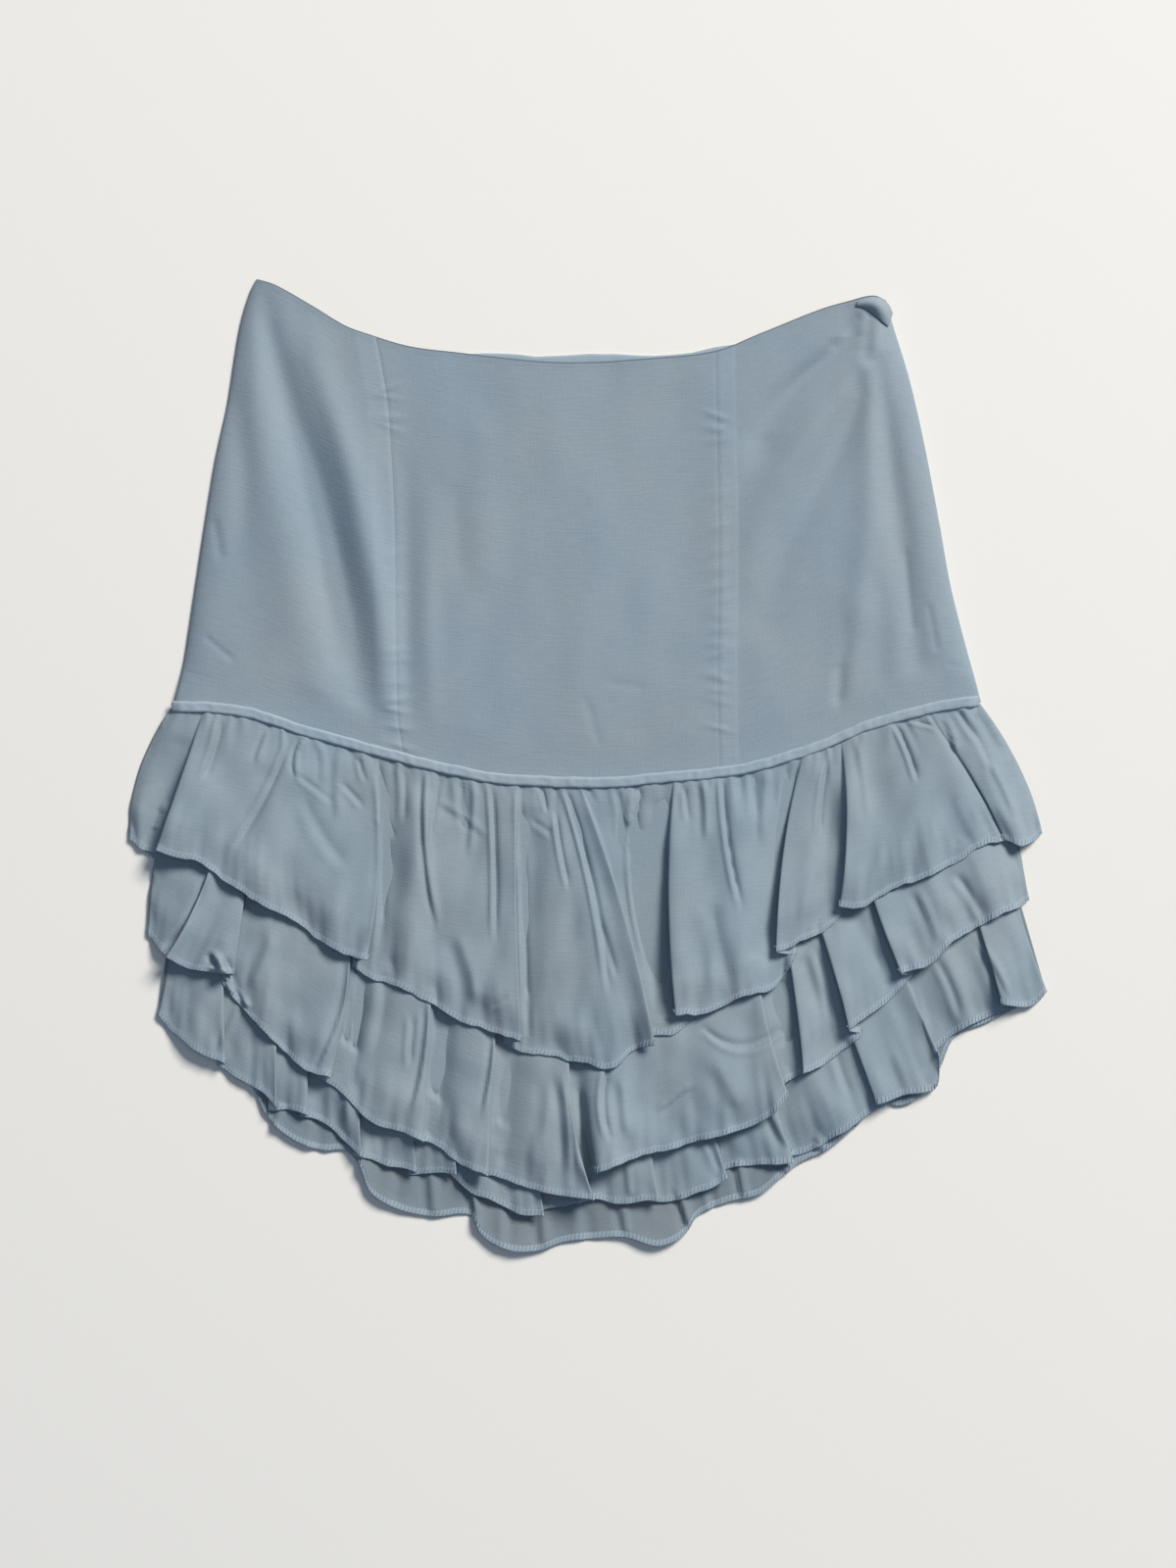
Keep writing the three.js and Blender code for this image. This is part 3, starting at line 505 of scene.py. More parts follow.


# Folds and creases of the tiers: a ridge with a dip beside it, or a dip with a
# ridge beside it where the height is negative. The bow is the swing to the left on the way.
TIER_1_FOLDS = [  # x0, y0, x1, y1, bow, width, height
    (-168.3, 9.9, -196.4, -44.6, 2, 2.6, -1.3),
    (-157.3, 17.1, -162.3, -6.1, -3, 2.4, 1.2),
    (-161.7, -6.1, -143, -20.4, 0, 2.2, -0.8),
    (-157.9, -18.7, -134.8, -55.6, -2.5, 6, -0.7),
    (-137.5, -10.5, -126, -22.6, 0, 2.4, -0.9),
    (-128.2, 3.3, -124.9, -8.3, 0, 2.2, -0.9),
    (-178, 22, -185, 2, 0, 3, 0.9),
    (-205, 24, -214, -6, 1, 3.4, -1.2),
    (-150, 12, -148, -10, 1, 3, 0.9),
    (-140, 6, -139, -28, -1, 4.5, 0.8),
    (-116.6, -4, -118.6, -109, 4, 3, -1.8),
    (-116.6, -28.6, -108.4, -39.6, 0, 2.2, -0.9),
    (-104, -1, -103, -30, 1, 3.2, -1.0),
    (-90.2, -5, -84.2, -85.8, -3, 3.0, 1.6),
    (-83.1, -6.1, -89.1, -42.9, 0, 2.2, -1.1),
    (-82, -20.9, -57.8, -38, 1, 3.4, 0.6),
    (-72, -9, -70, -34, 0, 3, -0.9),
    (-64, -10, -66, -48, 1, 3.6, 0.8),
    (-53.9, -11.6, -51.7, -91.3, 1, 2.4, -2.0),
    (-30.8, -31.4, -20.9, -38, 0, 2.2, -0.8),
    (-37.5, -22, -33.5, -156, 0, 3, -1.8),
    (-25.9, -12.7, -23.1, -25.3, 0, 2, -1.0),
    (-17.6, -28.1, -11, -66, -0.6, 2.4, -1.3),
    (-11.6, -15.4, 11, -119.9, 3, 2.6, -2.0),
    (7.7, -88.6, 15.4, -116.6, 0, 2.4, -1.2),
    (14.9, -12.7, 17.6, -39.1, 1.5, 2.4, -1.0),
    (19.8, -27, 33.6, -46.8, 1, 2.8, 0.4),
    (28.1, -12.7, 32.5, -104, -5, 2.8, -2.6),
    (-52.8, -135.3, -44.6, -129.3, 0, 2, -0.7),
    (53.9, -12.7, 56.1, -30.3, 0, 2.2, -1.0),
    (64, -8, 66, -40, 1, 3.6, 0.9),
    (75.4, -6.1, 85, -76, -2, 2.4, -2.0),
    (92, -3, 94, -30, 0, 3, -0.9),
    (101, 0, 98, -42, -1, 4, 0.9),
    (112, 3, 109, -22, 0, 2.4, -1.0),
    (134.2, 0.6, 129.8, -38, -1, 2.6, -1.3),
    (150, 15, 156, -28, 1, 3.6, 0.5),
    (172.2, 23.1, 183.7, -6.6, 1, 2.4, -1.7),
    (178.2, 25.9, 193.1, 22, 0, 2, -0.6),
    (206.8, 30.8, 216.2, 15.4, 0, 2.4, -1.0),
    (200, 26, 206, 8, 1, 2.6, 1.0),
    (214, 22, 226, -4, 1, 3, -0.8),
    (224, 2, 238, -26, 1, 3.4, 0.8),
    (-72, -96, -62, -132, 1, 7, 1.0),
    (70, -80, 78, -122, 0, 8, -1.0),
]
TIER_2_FOLDS = [
    (-132.6, -108.9, -149.6, -168.3, 4, 3.4, 1.6),
    (-114, -118, -120, -160, 2, 6, -0.8),
    (-129, -112, -135, -178, 3, 3, -1.6),
    (-88.6, -133.7, -96.8, -190.3, 2, 3.2, 1.6),
    (-97.9, -141.4, -99.6, -166.1, 0, 2.6, -1.5),
    (-51.7, -151.8, -57.8, -192.5, 1, 3, 1.5),
    (-22, -178, -26, -214, 1, 6, 0.7),
    (11, -170, 12.1, -207.4, -3, 2.6, -1.9),
    (19, -176, 22, -206, 0, 5, 0.9),
    (39.6, -192, 57.8, -178.2, 0, 2.6, 0.9),
    (65.1, -147.7, 106.5, -148.2, -9, 2.8, -1.9),
    (72, -166, 84, -190, 0, 7, 0.7),
    (128, -104, 136, -140, 1, 4.4, -0.9),
    (-4.5, -184, -1, -224, 0, 4, -2.4),
    (-14, -176, -10, -226, 1, 5, 1.3),
    (184, -70, 196, -98, 1, 4, 1.1),
    (206, -62, 220, -84, 1, 4, -1.1),
    (-176, -96, -188, -122, 1, 6, 1.0),
    (-214, -66, -236, -100, 3, 3.4, -1.4),
    (-209, -106, -200, -124, 1, 3.4, 2.4),
    (-202, -110, -193, -130, -1, 3, -2.2),
    (-200, -120, -212, -117, 0, 2.6, -1.4),
    (-196, -124, -190, -134, 0, 3, 1.8),
]
TIER_3_FOLDS = [
    (-196, -136, -206, -158, 0, 3, 1.0),
    (-134, -182, -136, -204, 0, 4, 0.9),
    (-62, -220, -62, -240, 0, 4, 0.9),
    (22, -222, 24, -240, 0, 3.4, 0.9),
    (66, -206, 74, -226, 0, 3, -0.9),
    (100, -190, 112, -212, 0, 4, 1.0),
    (138, -160, 146, -184, 0, 4, -1.0),
    (196, -110, 208, -140, 1, 3.4, -1.0),
    (220, -100, 236, -128, 1, 3, 0.9),
]
# Broad pockets beside the knife folds and the swells between them, as troughs and ridges
TIER_1_SWELLS = [  # x0, y0, x1, y1, width, height
    (-109, -8, -114, -116, 8, -2.6),
    (-93, -20, -98, -124, 8, 2.0),
    (-160, -2, -186, -62, 9, 1.8),
    (-182, -8, -206, -58, 8, -2.2),
    (-32, -30, -31, -158, 7, -3.0),
    (-18, -34, -14, -158, 7, 1.6),
    (-70, -30, -72, -130, 12, -1.2),
    (40, -24, 43, -150, 6, -3.6),
    (24, -40, 36, -110, 9, -2.5),
    (58, -30, 60, -136, 10, 1.2),
    (86, -20, 90, -120, 8, 1.2),
    (114, -5, 98, -104, 7, -2.6),
    (135, 0, 131, -84, 7, -2.6),
    (152, 0, 152, -74, 8, 1.0),
    (-228, 10, -244, -40, 7, -2.6),
]
TIER_2_SWELLS = [
    (-124, -110, -139, -174, 7, -3.2),
    (-80, -135, -87, -204, 7, -3.2),
    (-43, -155, -48, -218, 7, -2.8),
    (-104, -120, -112, -190, 8, 1.4),
    (-66, -140, -72, -212, 8, 1.4),
    (14, -180, 20, -224, 6, -1.0),
    (46, -140, 54, -206, 9, 1.4),
    (108, -125, 117, -174, 7, -3.2),
    (121, -112, 137, -152, 5, -1.8),
    (147, -80, 167, -120, 5, -1.6),
    (190, -60, 206, -92, 8, 1.4),
    (-212, -60, -236, -100, 6, 1.4),
]
TIER_3_SWELLS = [
    (-214, -130, -222, -152, 6, 1.2),
    (-148, -170, -152, -196, 6, -1.2),
    (-88, -200, -90, -224, 7, 1.2),
    (-10, -220, -10, -242, 8, 1.2),
    (84, -190, 94, -220, 7, -1.2),
    (150, -150, 164, -178, 7, 1.4),
    (206, -100, 220, -136, 7, -1.4),
]
BACK_FOLDS = [
    (-170, 0, -186, -90, 3, 6, 0.5),
    (-110, -20, -116, -150, 2, 8, -0.4),
    (-60, -30, -66, -190, -2, 7, 0.5),
    (-10, -40, -6, -220, 2, 9, -0.4),
    (44, -40, 52, -180, -1, 6, 0.5),
    (96, -20, 110, -160, 2, 8, -0.4),
    (150, 0, 176, -120, 2, 6, 0.5),
]
BACK_LOBE_FOLDS = [
    (-172, -190, -178, -214, 0, 4, 1.6),
    (-152, -196, -152, -220, 0, 5, -1.0),
    (-124, -206, -128, -232, 0, 4, 1.8),
    (-104, -220, -108, -246, 0, 6, -1.0),
    (-88, -226, -86, -252, 0, 5, 1.4),
    (-66, -232, -62, -262, 1, 4, 1.8),
    (-44, -240, -44, -270, 0, 5, -1.2),
    (-26, -240, -24, -270, 0, 5, 1.4),
    (-2, -238, 0, -266, 0, 6, -1.0),
    (18, -240, 22, -262, 0, 4, 1.5),
    (50, -234, 57, -258, 0, 3.4, 2.0),
    (66, -228, 71, -248, 0, 3.4, -1.6),
    (84, -220, 88, -242, 0, 3.4, 2.0),
    (106, -208, 112, -228, 0, 3.4, 2.0),
    (126, -200, 132, -216, 0, 3.4, 1.8),
    (146, -186, 152, -202, 0, 3.4, 1.6),
    (176, -168, 186, -184, 0, 3.4, 1.6),
]
# Puckers across a princess seam: where they start and end along it, and how many
LEFT_PUCKERS = [(12, 66, 7), (96, 120, 2), (188, 212, 4)]
RIGHT_PUCKERS = [(22, 34, 2), (40, 92, 8), (100, 132, 4), (150, 160, 1), (180, 196, 3)]

# The tip of the waist edge, folded over at the right corner
CORNER = ("x", "y", "width", "rise")
CORNER_FOLD = [
    (150.5, 258.4, 2.5, 0.4),
    (155, 258.8, 5, 1.4),
    (159.5, 258, 8, 2.5),
    (163.5, 256, 10, 3.1),
    (166.8, 253, 10.5, 2.8),
    (169.4, 249.6, 8, 1.2),
]
CORNER_LEAN = 0.35
CORNER_SINK = 0.4  # its edges lie this much lower than a whole layer over the yoke
CORNER_CLOTH = 0.5


# Curves and sums used by every piece
def mix(a, b, t):
    """The value a share t of the way from a to b."""
    return a + (b - a) * t


def smooth(t):
    """0 below 0, 1 above 1, and 3t^2 - 2t^3 between."""
    c = np.clip(t, 0, 1)
    return c * c * (3 - 2 * c)


def through(table):
    """A curve through the rows of a table: each stretch is the cubic that meets its two ends at
    the slope between their neighbours."""
    x, y = np.array(table, float).T
    last = len(x) - 1
    ahead = np.minimum(np.arange(len(x)) + 1, last)
    behind = np.maximum(np.arange(len(x)) - 1, 0)
    slope = (y[ahead] - y[behind]) / (x[ahead] - x[behind])

    def curve(at):
        """The height of the curve at each place, held at its end values beyond them."""
        v = np.clip(at, x[0], x[-1])
        i = np.clip(np.searchsorted(x, v, side="right") - 1, 0, last - 1)
        h = x[i + 1] - x[i]
        t = (v - x[i]) / h
        bend = h * t * (1 - t) * ((1 - t) * slope[i] - t * slope[i + 1])
        return mix(y[i], y[i + 1], smooth(t)) + bend

    return curve


left_side, right_side = through(LEFT_SIDE), through(RIGHT_SIDE)
left_princess, right_princess = through(LEFT_PRINCESS), through(RIGHT_PRINCESS)
front_waist, back_waist = through(FRONT_WAIST), through(BACK_WAIST)
yoke_seam, second_seam, third_seam = (through(t) for t in (YOKE_SEAM, SECOND_SEAM, THIRD_SEAM))


def named(columns, rows):
    """A table's columns as arrays under their names."""
    return dict(zip(columns, np.array(rows, float).T))


def along_line(x, y, x0, y0, x1, y1):
    """How far along a line each point lies, from 0 to 1, how far to the left of it, and the
    line's length."""
    dx, dy = x1 - x0, y1 - y0
    run = np.hypot(dx, dy)
    t = ((x - x0) * dx + (y - y0) * dy) / run**2
    left = (dx * (y - y0) - dy * (x - x0)) / run
    return t, left, run


def troughs(x, y, rows):
    """Sum of the rows' bells: height times e to the minus (distance over width) squared, where
    the distance is to the nearest point of the line."""
    total = np.zeros_like(x)
    for x0, y0, x1, y1, width, height in rows:
        t, left, run = along_line(x, y, x0, y0, x1, y1)
        away = np.hypot(left, run * (t - np.clip(t, 0, 1)))
        total += height * np.exp(-((away / width) ** 2))
    return total


def long_drapes(x, y, tables):
    """Sum of the drapes' bells: height times e to the minus (distance over width) squared, where
    the line's x, the width and the height are curves of y. Each fades out past its ends."""
    total = np.zeros_like(x)
    for rows in tables:
        line = named(LONG_DRAPE, rows)
        middle, width, height = (
            through(np.stack([line["y"], line[key]], -1))(y) for key in ("x", "width", "height")
        )
        low, high = line["y"][0], line["y"][-1]
        fade = smooth(1 + (y - low) / DRAPE_FADE) * smooth(1 + (high - y) / DRAPE_FADE)
        total += height * fade * np.exp(-(((x - middle) / width) ** 2))
    return total


def fold_lines(x, y, rows):
    """Sum of the rows' folds. Across the line, a fold is a narrow crest, e to the minus (distance
    over width) to the power 1.5, with a low bell of the other sign one and a half widths to its
    right. Along it, the fold fades out over its last fifth and a little past its end. The line
    swings left by bow times 4t(1 - t). Widths and heights are the table's times FOLD_WIDTH and
    FOLD_HEIGHT."""
    total = np.zeros_like(x)
    for x0, y0, x1, y1, bow, width, height in rows:
        t, left, run = along_line(x, y, x0, y0, x1, y1)
        inside = np.clip(t, 0, 1)
        u = (left - bow * 4 * inside * (1 - inside)) / (FOLD_WIDTH * width)
        fade = smooth((t + 0.12) / 0.3) * smooth((1.12 - t) / 0.3)
        crest = np.exp(-(np.abs(u) ** 1.5))
        total += FOLD_HEIGHT * height * fade * (crest - 0.6 * np.exp(-((u + 1.5) ** 2)))
    return total


def uneven(x, y, seed, size, longest=48, shortest=9, waves=14):
    """A soft random lie: a sum of plane waves in all directions, the longer the higher."""
    draw = np.random.default_rng(seed)
    x, y = np.broadcast_arrays(x, y)
    total = np.zeros(x.shape)
    for wavelength in np.geomspace(longest, shortest, waves):
        turn, phase = draw.uniform(0, 2 * np.pi, 2)
        run = x * np.cos(turn) + y * np.sin(turn)
        total += wavelength / longest * np.sin(2 * np.pi * run / wavelength + phase)
    return size * total / np.sqrt(waves / 4)


# Meshes
def shell_quads(rows, columns):
    """Corners of every cell of a grid of points seen from its outer face, of the same cells of
    its inner face turned over, and of the rim between the two. Also how many are the rim's."""
    at = np.arange(rows * columns).reshape(rows, columns)
    cells = np.stack([at[:-1, :-1], at[1:, :-1], at[1:, 1:], at[:-1, 1:]], -1).reshape(-1, 4)
    rim = np.concatenate([at[:, 0], at[-1, 1:], at[-2::-1, -1], at[0, -2::-1]])
    p, q = rim[:-1], rim[1:]
    under = rows * columns
    sides = np.stack([q, p, p + under, q + under], -1)
    return np.concatenate([cells, cells[:, ::-1] + under, sides]), len(sides)


def make_mesh(name, points, quads, uv, marks=None, flat_at_end=0):
    """A mesh in metres from points in mm, with its cloth map in metres of cloth, and each named
    mark as a number on its points. The last faces can stay flat, as at a cut edge."""
    mesh = bpy.data.meshes.new(name)
    mesh.vertices.add(len(points))
    mesh.vertices.foreach_set("co", (points * MM).astype(np.float32).ravel())
    mesh.loops.add(quads.size)
    mesh.loops.foreach_set("vertex_index", quads.astype(np.int32).ravel())
    mesh.polygons.add(len(quads))
    mesh.polygons.foreach_set("loop_start", np.arange(0, quads.size, 4, dtype=np.int32))
    mesh.polygons.foreach_set("use_smooth", np.arange(len(quads)) < len(quads) - flat_at_end)
    mesh.update(calc_edges=True)
    layer = mesh.uv_layers.new(name="cloth")
    layer.data.foreach_set("uv", (uv[quads.ravel()] * MM).astype(np.float32).ravel())
    for key, values in (marks or {}).items():
        mark = mesh.attributes.new(key, "FLOAT", "POINT")
        mark.data.foreach_set("value", values.astype(np.float32))
    made = bpy.data.objects.new(name, mesh)
    bpy.context.collection.objects.link(made)
    return made


def outward(points):
    """Unit normals of a grid whose rows run down the skirt and whose columns run across it, on
    the side away from the table: the step down crossed with the step across."""
    normal = np.cross(np.gradient(points, axis=0), np.gradient(points, axis=1))
    return normal / np.maximum(np.linalg.norm(normal, axis=-1, keepdims=True), 1e-9)


def run_along(points, axis):
    """Distance run from the start of each row or column of a grid of points."""
    steps = np.linalg.norm(np.diff(points, axis=axis), axis=-1)
    return np.concatenate([0 * steps.take([0], axis=axis), np.cumsum(steps, axis=axis)], axis=axis)


def cloth_piece(name, points, thickness=CLOTH, marks=None):
    """A closed thin shell: the middle surface moved half its thickness each way along its
    normal, and closed round its rim. The cloth map is the distance run across and down."""
    rows, columns = points.shape[:2]
    normal = outward(points)
    half = np.broadcast_to(np.asarray(thickness, float), (rows, columns))[..., None] / 2
    faces = np.concatenate([points + normal * half, points - normal * half]).reshape(-1, 3)
    quads, rim = shell_quads(rows, columns)
    across = np.broadcast_to(run_along(points, 1)[rows // 2], (rows, columns))
    uv = np.tile(np.stack([across, run_along(points, 0)], -1).reshape(-1, 2), (2, 1))
    marks = {key: np.tile(values.ravel(), 2) for key, values in (marks or {}).items()}
    return make_mesh(name, faces, quads, uv, marks, rim)


def band(to_edge, width, soft=0.8):
    """1 within a band along an edge and 0 inside it, with a soft step between."""
    return smooth((width - to_edge) / soft)


# Lying on what is beneath: a map of heights over the table, its cells MAP_STEP wide
MAP_STEP = 1.5
MAP_CORNER = np.array([-285.0, -300.0])
MAP_CELLS = (380, 400)


def cell_of(x, y):
    """The map cell that each point lies in."""
    i = np.clip(((x - MAP_CORNER[0]) / MAP_STEP).astype(int), 0, MAP_CELLS[0] - 1)
    j = np.clip(((y - MAP_CORNER[1]) / MAP_STEP).astype(int), 0, MAP_CELLS[1] - 1)
    return i, j


def height_map(points):
    """Highest point of a piece's upper face in each cell of a map of the table, spread by one
    cell each way and then evened out with its neighbours."""
    fine = np.concatenate([points, (points[1:] + points[:-1]) / 2]).reshape(-1, 3)
    top = np.zeros(MAP_CELLS)
    np.maximum.at(top, cell_of(fine[:, 0], fine[:, 1]), fine[:, 2] + CLOTH / 2)
    for axis in (0, 1):
        top = np.maximum(top, np.maximum(np.roll(top, 1, axis), np.roll(top, -1, axis)))
    for axis in (0, 1):
        top = np.roll(top, 1, axis) / 4 + top / 2 + np.roll(top, -1, axis) / 4
    return top


def rest_on(points, beneath, share):
    """Points lifted off what is beneath: the clear space between them is k ln(1 + e^(space/k)),
    which is the space itself where there is plenty and never less than nothing."""
    floor = beneath[cell_of(points[..., 0], points[..., 1])] + CLOTH / 2 + CLEAR
    space = (points[..., 2] - floor) / REST_SOFT
    resting = floor + REST_SOFT * np.logaddexp(0, space)
    out = points.copy()
    out[..., 2] = mix(points[..., 2], np.maximum(resting, points[..., 2]), share)
    return out


# Front tiers
def seam_height(x, left=-234.0, right=219.6):
    """Height of the front where a tier is sewn on, lower within SIDE_FALL of either end."""
    inward = np.minimum(x - left, right - x)
    return FRONT_SEAM_LEVEL - SIDE_DROP * smooth(1 - inward / SIDE_FALL)


def with_tucks(rows):
    """Stations with the hidden edge of each knife fold put in beside its visible edge, and a
    column that says which are hidden."""
    out = []
    for row in rows:
        visible, hidden = (*row, 0), (*row, 1)
        tuck = row[5]
        out += [visible] if not tuck else [visible, hidden] if tuck > 0 else [hidden, visible]
    return named((*STATION, "hidden"), out)


def between_stations(keys, p, at, folded):
    """Points between key points by cubics: the slope at a plain key is that between its
    neighbours, and at a fold's edge each side keeps its own straight slope."""
    step = np.diff(p)
    chord = np.diff(keys, axis=1) / step[:, None]
    before = np.concatenate([chord[:, :1], chord], axis=1)
    after = np.concatenate([chord, chord[:, -1:]], axis=1)
    wide = np.concatenate([step[:1], step, step[-1:]])
    near, far = wide[:-1, None], wide[1:, None]
    mean = (before * far + after * near) / (near + far)
    sharp = folded[:, None] > 0
    leave, meet = np.where(sharp, after, mean), np.where(sharp, before, mean)
    i = np.clip(np.searchsorted(p, at, side="right") - 1, 0, len(p) - 2)
    t = ((at - p[i]) / step[i])[:, None]
    own = chord[:, i]
    bend = (1 - t) * (leave[:, i] - own) - t * (meet[:, i + 1] - own)
    return mix(keys[:, i], keys[:, i + 1], t) + step[i][:, None] * t * (1 - t) * bend


def soften(points, times=2):
    """Each column drawn a quarter towards each neighbour, so a fold's edge turns round."""
    for _ in range(times):
        inner = points[:, :-2] / 4 + points[:, 1:-1] / 2 + points[:, 2:] / 4
        points = np.concatenate([points[:, :1], inner, points[:, -1:]], axis=1)
    return points


def tier_surface(stations, seam, drop, mean, under, columns, down):
    """Middle surface of a front tier. Each station runs straight from seam to hem plus its bow.
    The tier's mean height climbs with the share of the way to the power TIER_RISE, and what a
    station has above or below it with the power RELIEF_RISE. A hidden station slides under its
    fold on the way down. Returns the points and each column's seam x."""
    s = with_tucks(stations)
    t = down[:, None]
    opened = smooth((t - TUCK_START) / (1 - TUCK_START))
    slide = mix(np.sign(s["tuck"]) * FOLD_STEP, -s["tuck"], opened) * s["hidden"]
    x = mix(s["seam_x"], s["hem_x"], t) + s["bow"] * 4 * t * (1 - t) + slide
    y = mix(seam(s["seam_x"]) - drop, s["hem_y"], t)
    open_z = s["hem_z"] + (RELIEF - 1) * (s["hem_z"] - mean) * smooth((s["hem_z"] - under) / 2 + 1)
    hem_z = np.where(s["hidden"] > 0, under, open_z)
    start = seam_height(s["seam_x"], s["seam_x"][0], s["seam_x"][-1])
    z = mix(start, mean, t**TIER_RISE) + (hem_z - mean) * t**RELIEF_RISE
    keys = np.stack([x, y, z], -1)
    section = keys[-1][:, [0, 2]]
    p = np.concatenate([[0], np.cumsum(np.linalg.norm(np.diff(section, axis=0), axis=1))])
    at = np.linspace(0, p[-1], columns)
    seam_x = s["seam_x"] + np.sign(s["tuck"]) * FOLD_STEP * s["hidden"]
    points = between_stations(keys, p, at, np.abs(s["tuck"]))
    return soften(points), np.interp(at, p, seam_x)


def gathers(seam_x, depth, seed, pitch, size, reach):
    """Small pleats that hang from a gathered seam at uneven places: each is a bell across that
    widens and sinks with depth, and ends at its own reach."""
    draw = np.random.default_rng(seed)
    first, last = seam_x[0], seam_x[-1]
    count = int((last - first) / pitch)
    total = np.zeros_like(depth)
    for place in first + (np.arange(count) + draw.uniform(0.1, 0.9, count)) * pitch:
        height = draw.uniform(0.3, 1) * size * draw.choice([-1, 1])
        width, length = draw.uniform(0.9, 2.2), draw.uniform(0.3, 1) * reach
        lean = draw.uniform(-0.15, 0.15)
        away = (seam_x - place - lean * depth) / (width * (1 + depth / length))
        total += height * np.exp(-(away**2)) * smooth(depth / 3) * smooth(1.15 - depth / length)
    return total


def rows_down(count):
    """Shares of a tier's length for its rows, closer together at the seam and at the hem."""
    t = np.linspace(0, 1, count)
    return t - 0.6 * np.sin(2 * np.pi * t) / (2 * np.pi)


def front_tier(name, row, grid, seed, beneath):
    """A front tier with its pockets and swells, its folds, its gathers and its uneven lie. It
    rests on what lies beneath, and its last few millimetres are the thicker overlocked edge."""
    stations, seam, drop, mean, under, folds, swells, pitch, size, reach, droop = row
    columns, count = grid
    points, seam_x = tier_surface(stations, seam, drop, mean, under, columns, rows_down(count))
    x, y = points[..., 0].copy(), points[..., 1].copy()
    depth = run_along(points, 0)
    to_hem = depth[-1:] - depth
    loose = smooth(1 - to_hem / LOOSE_REACH)
    full = smooth(depth / SWELLS_FROM)
    along = run_along(points[-1:], 1)
    points[..., 1] += uneven(along, 0 * along, seed + 2, 1.5, longest=60, shortest=6) * loose
    points[..., 2] += uneven(along, to_hem * 0.3, seed + 3, 1.0, longest=30, shortest=7) * loose
    points[..., 2] -= droop * smooth(1 - to_hem / DROOP_REACH)
    points[..., 2] += troughs(x, y, swells) * full
    points[..., 2] += fold_lines(x, y, folds) * smooth(depth / FOLDS_FROM)
    points[..., 2] += uneven(x, y * 0.7, seed, 0.8, longest=60, shortest=12) * full
    points[..., 2] += gathers(seam_x, depth, seed + 1, pitch, size, reach)
    points = rest_on(points, beneath, smooth(depth / REST_FROM))
    thickness = CLOTH + (HEM_THICK - CLOTH) * band(to_hem, HEM_BAND)
    return cloth_piece(name, points, thickness, {"to_edge": to_hem}), points


# Back tiers
def back_tier(name, stations, seam, high_until, flat_from, grid, seed, front_edge):
    """A back tier: one layer up as far as high_until below its seam, down on the table from
    flat_from, and lifted in lobes at its hem. Its side edges rise to meet the front's."""
    columns, count = grid
    s = named(BACK_STATION, stations)
    p = np.concatenate([[0], np.cumsum(np.hypot(np.diff(s["hem_x"]), np.diff(s["hem_y"])))])
    t = rows_down(count)[:, None]
    start = seam(s["seam_x"]) - BACK_SEAM_TUCK
    x = mix(s["seam_x"], s["hem_x"], t)
    y = mix(start, s["hem_y"], t)
    z = np.broadcast_to(s["hem_z"], x.shape)
    keys = np.stack([x, y, z], -1)
    at = np.linspace(0, p[-1], columns)
    points = between_stations(keys, p, at, np.zeros(len(p)))
    depth = run_along(points[..., :2], 0)
    to_hem = depth[-1:] - depth
    down = smooth((depth - high_until) / (flat_from - high_until))
    past = smooth((depth - flat_from) / np.maximum(depth[-1:] - flat_from, 1))
    lobe = (points[..., 2] - SOLID / 2) * past
    x, y = points[..., 0], points[..., 1]
    lie = 0.5 + 0.5 * np.sin(uneven(x, y * 0.5, seed, 2.2))
    relief = fold_lines(x, y, BACK_FOLDS) + 0.5 * lie
    relief = relief + fold_lines(x, y, BACK_LOBE_FOLDS) + DIP_ROOM
    hem_lift = HEM_LIFT * smooth(1 - to_hem / HEM_LIFT_REACH)
    low = TABLE_LIE + np.maximum(relief, 0) * down + hem_lift
    points[..., 2] = mix(level(1), low, down) + np.maximum(lobe, 0)
    sideways = np.minimum(np.arange(columns), np.arange(columns)[::-1]) * (p[-1] / columns)
    meet = mix(FRONT_SEAM_LEVEL - SIDE_DROP, front_edge, t**TIER_RISE) - SIDE_MEET
    points[..., 2] = mix(points[..., 2], meet, smooth(1 - sideways / SIDE_REACH))
    thickness = CLOTH + (HEM_THICK - CLOTH) * band(to_hem, HEM_BAND) * (to_hem < 30)
    return cloth_piece(name, points, thickness, {"to_edge": to_hem}), points


# Yoke
def panel_points(left, right, lower, upper, across, down):
    """Points of a panel between two side edges, x as a function of y, and two ends, y as a
    function of x. Each point settles between the four in a few rounds."""
    u, v = np.meshgrid(across, 1 - down)
    x = mix(left(0.0), right(0.0), u)
    for _ in range(5):
        y = mix(lower(x), upper(x), v)
        x = mix(left(y), right(y), u)
    return x, y


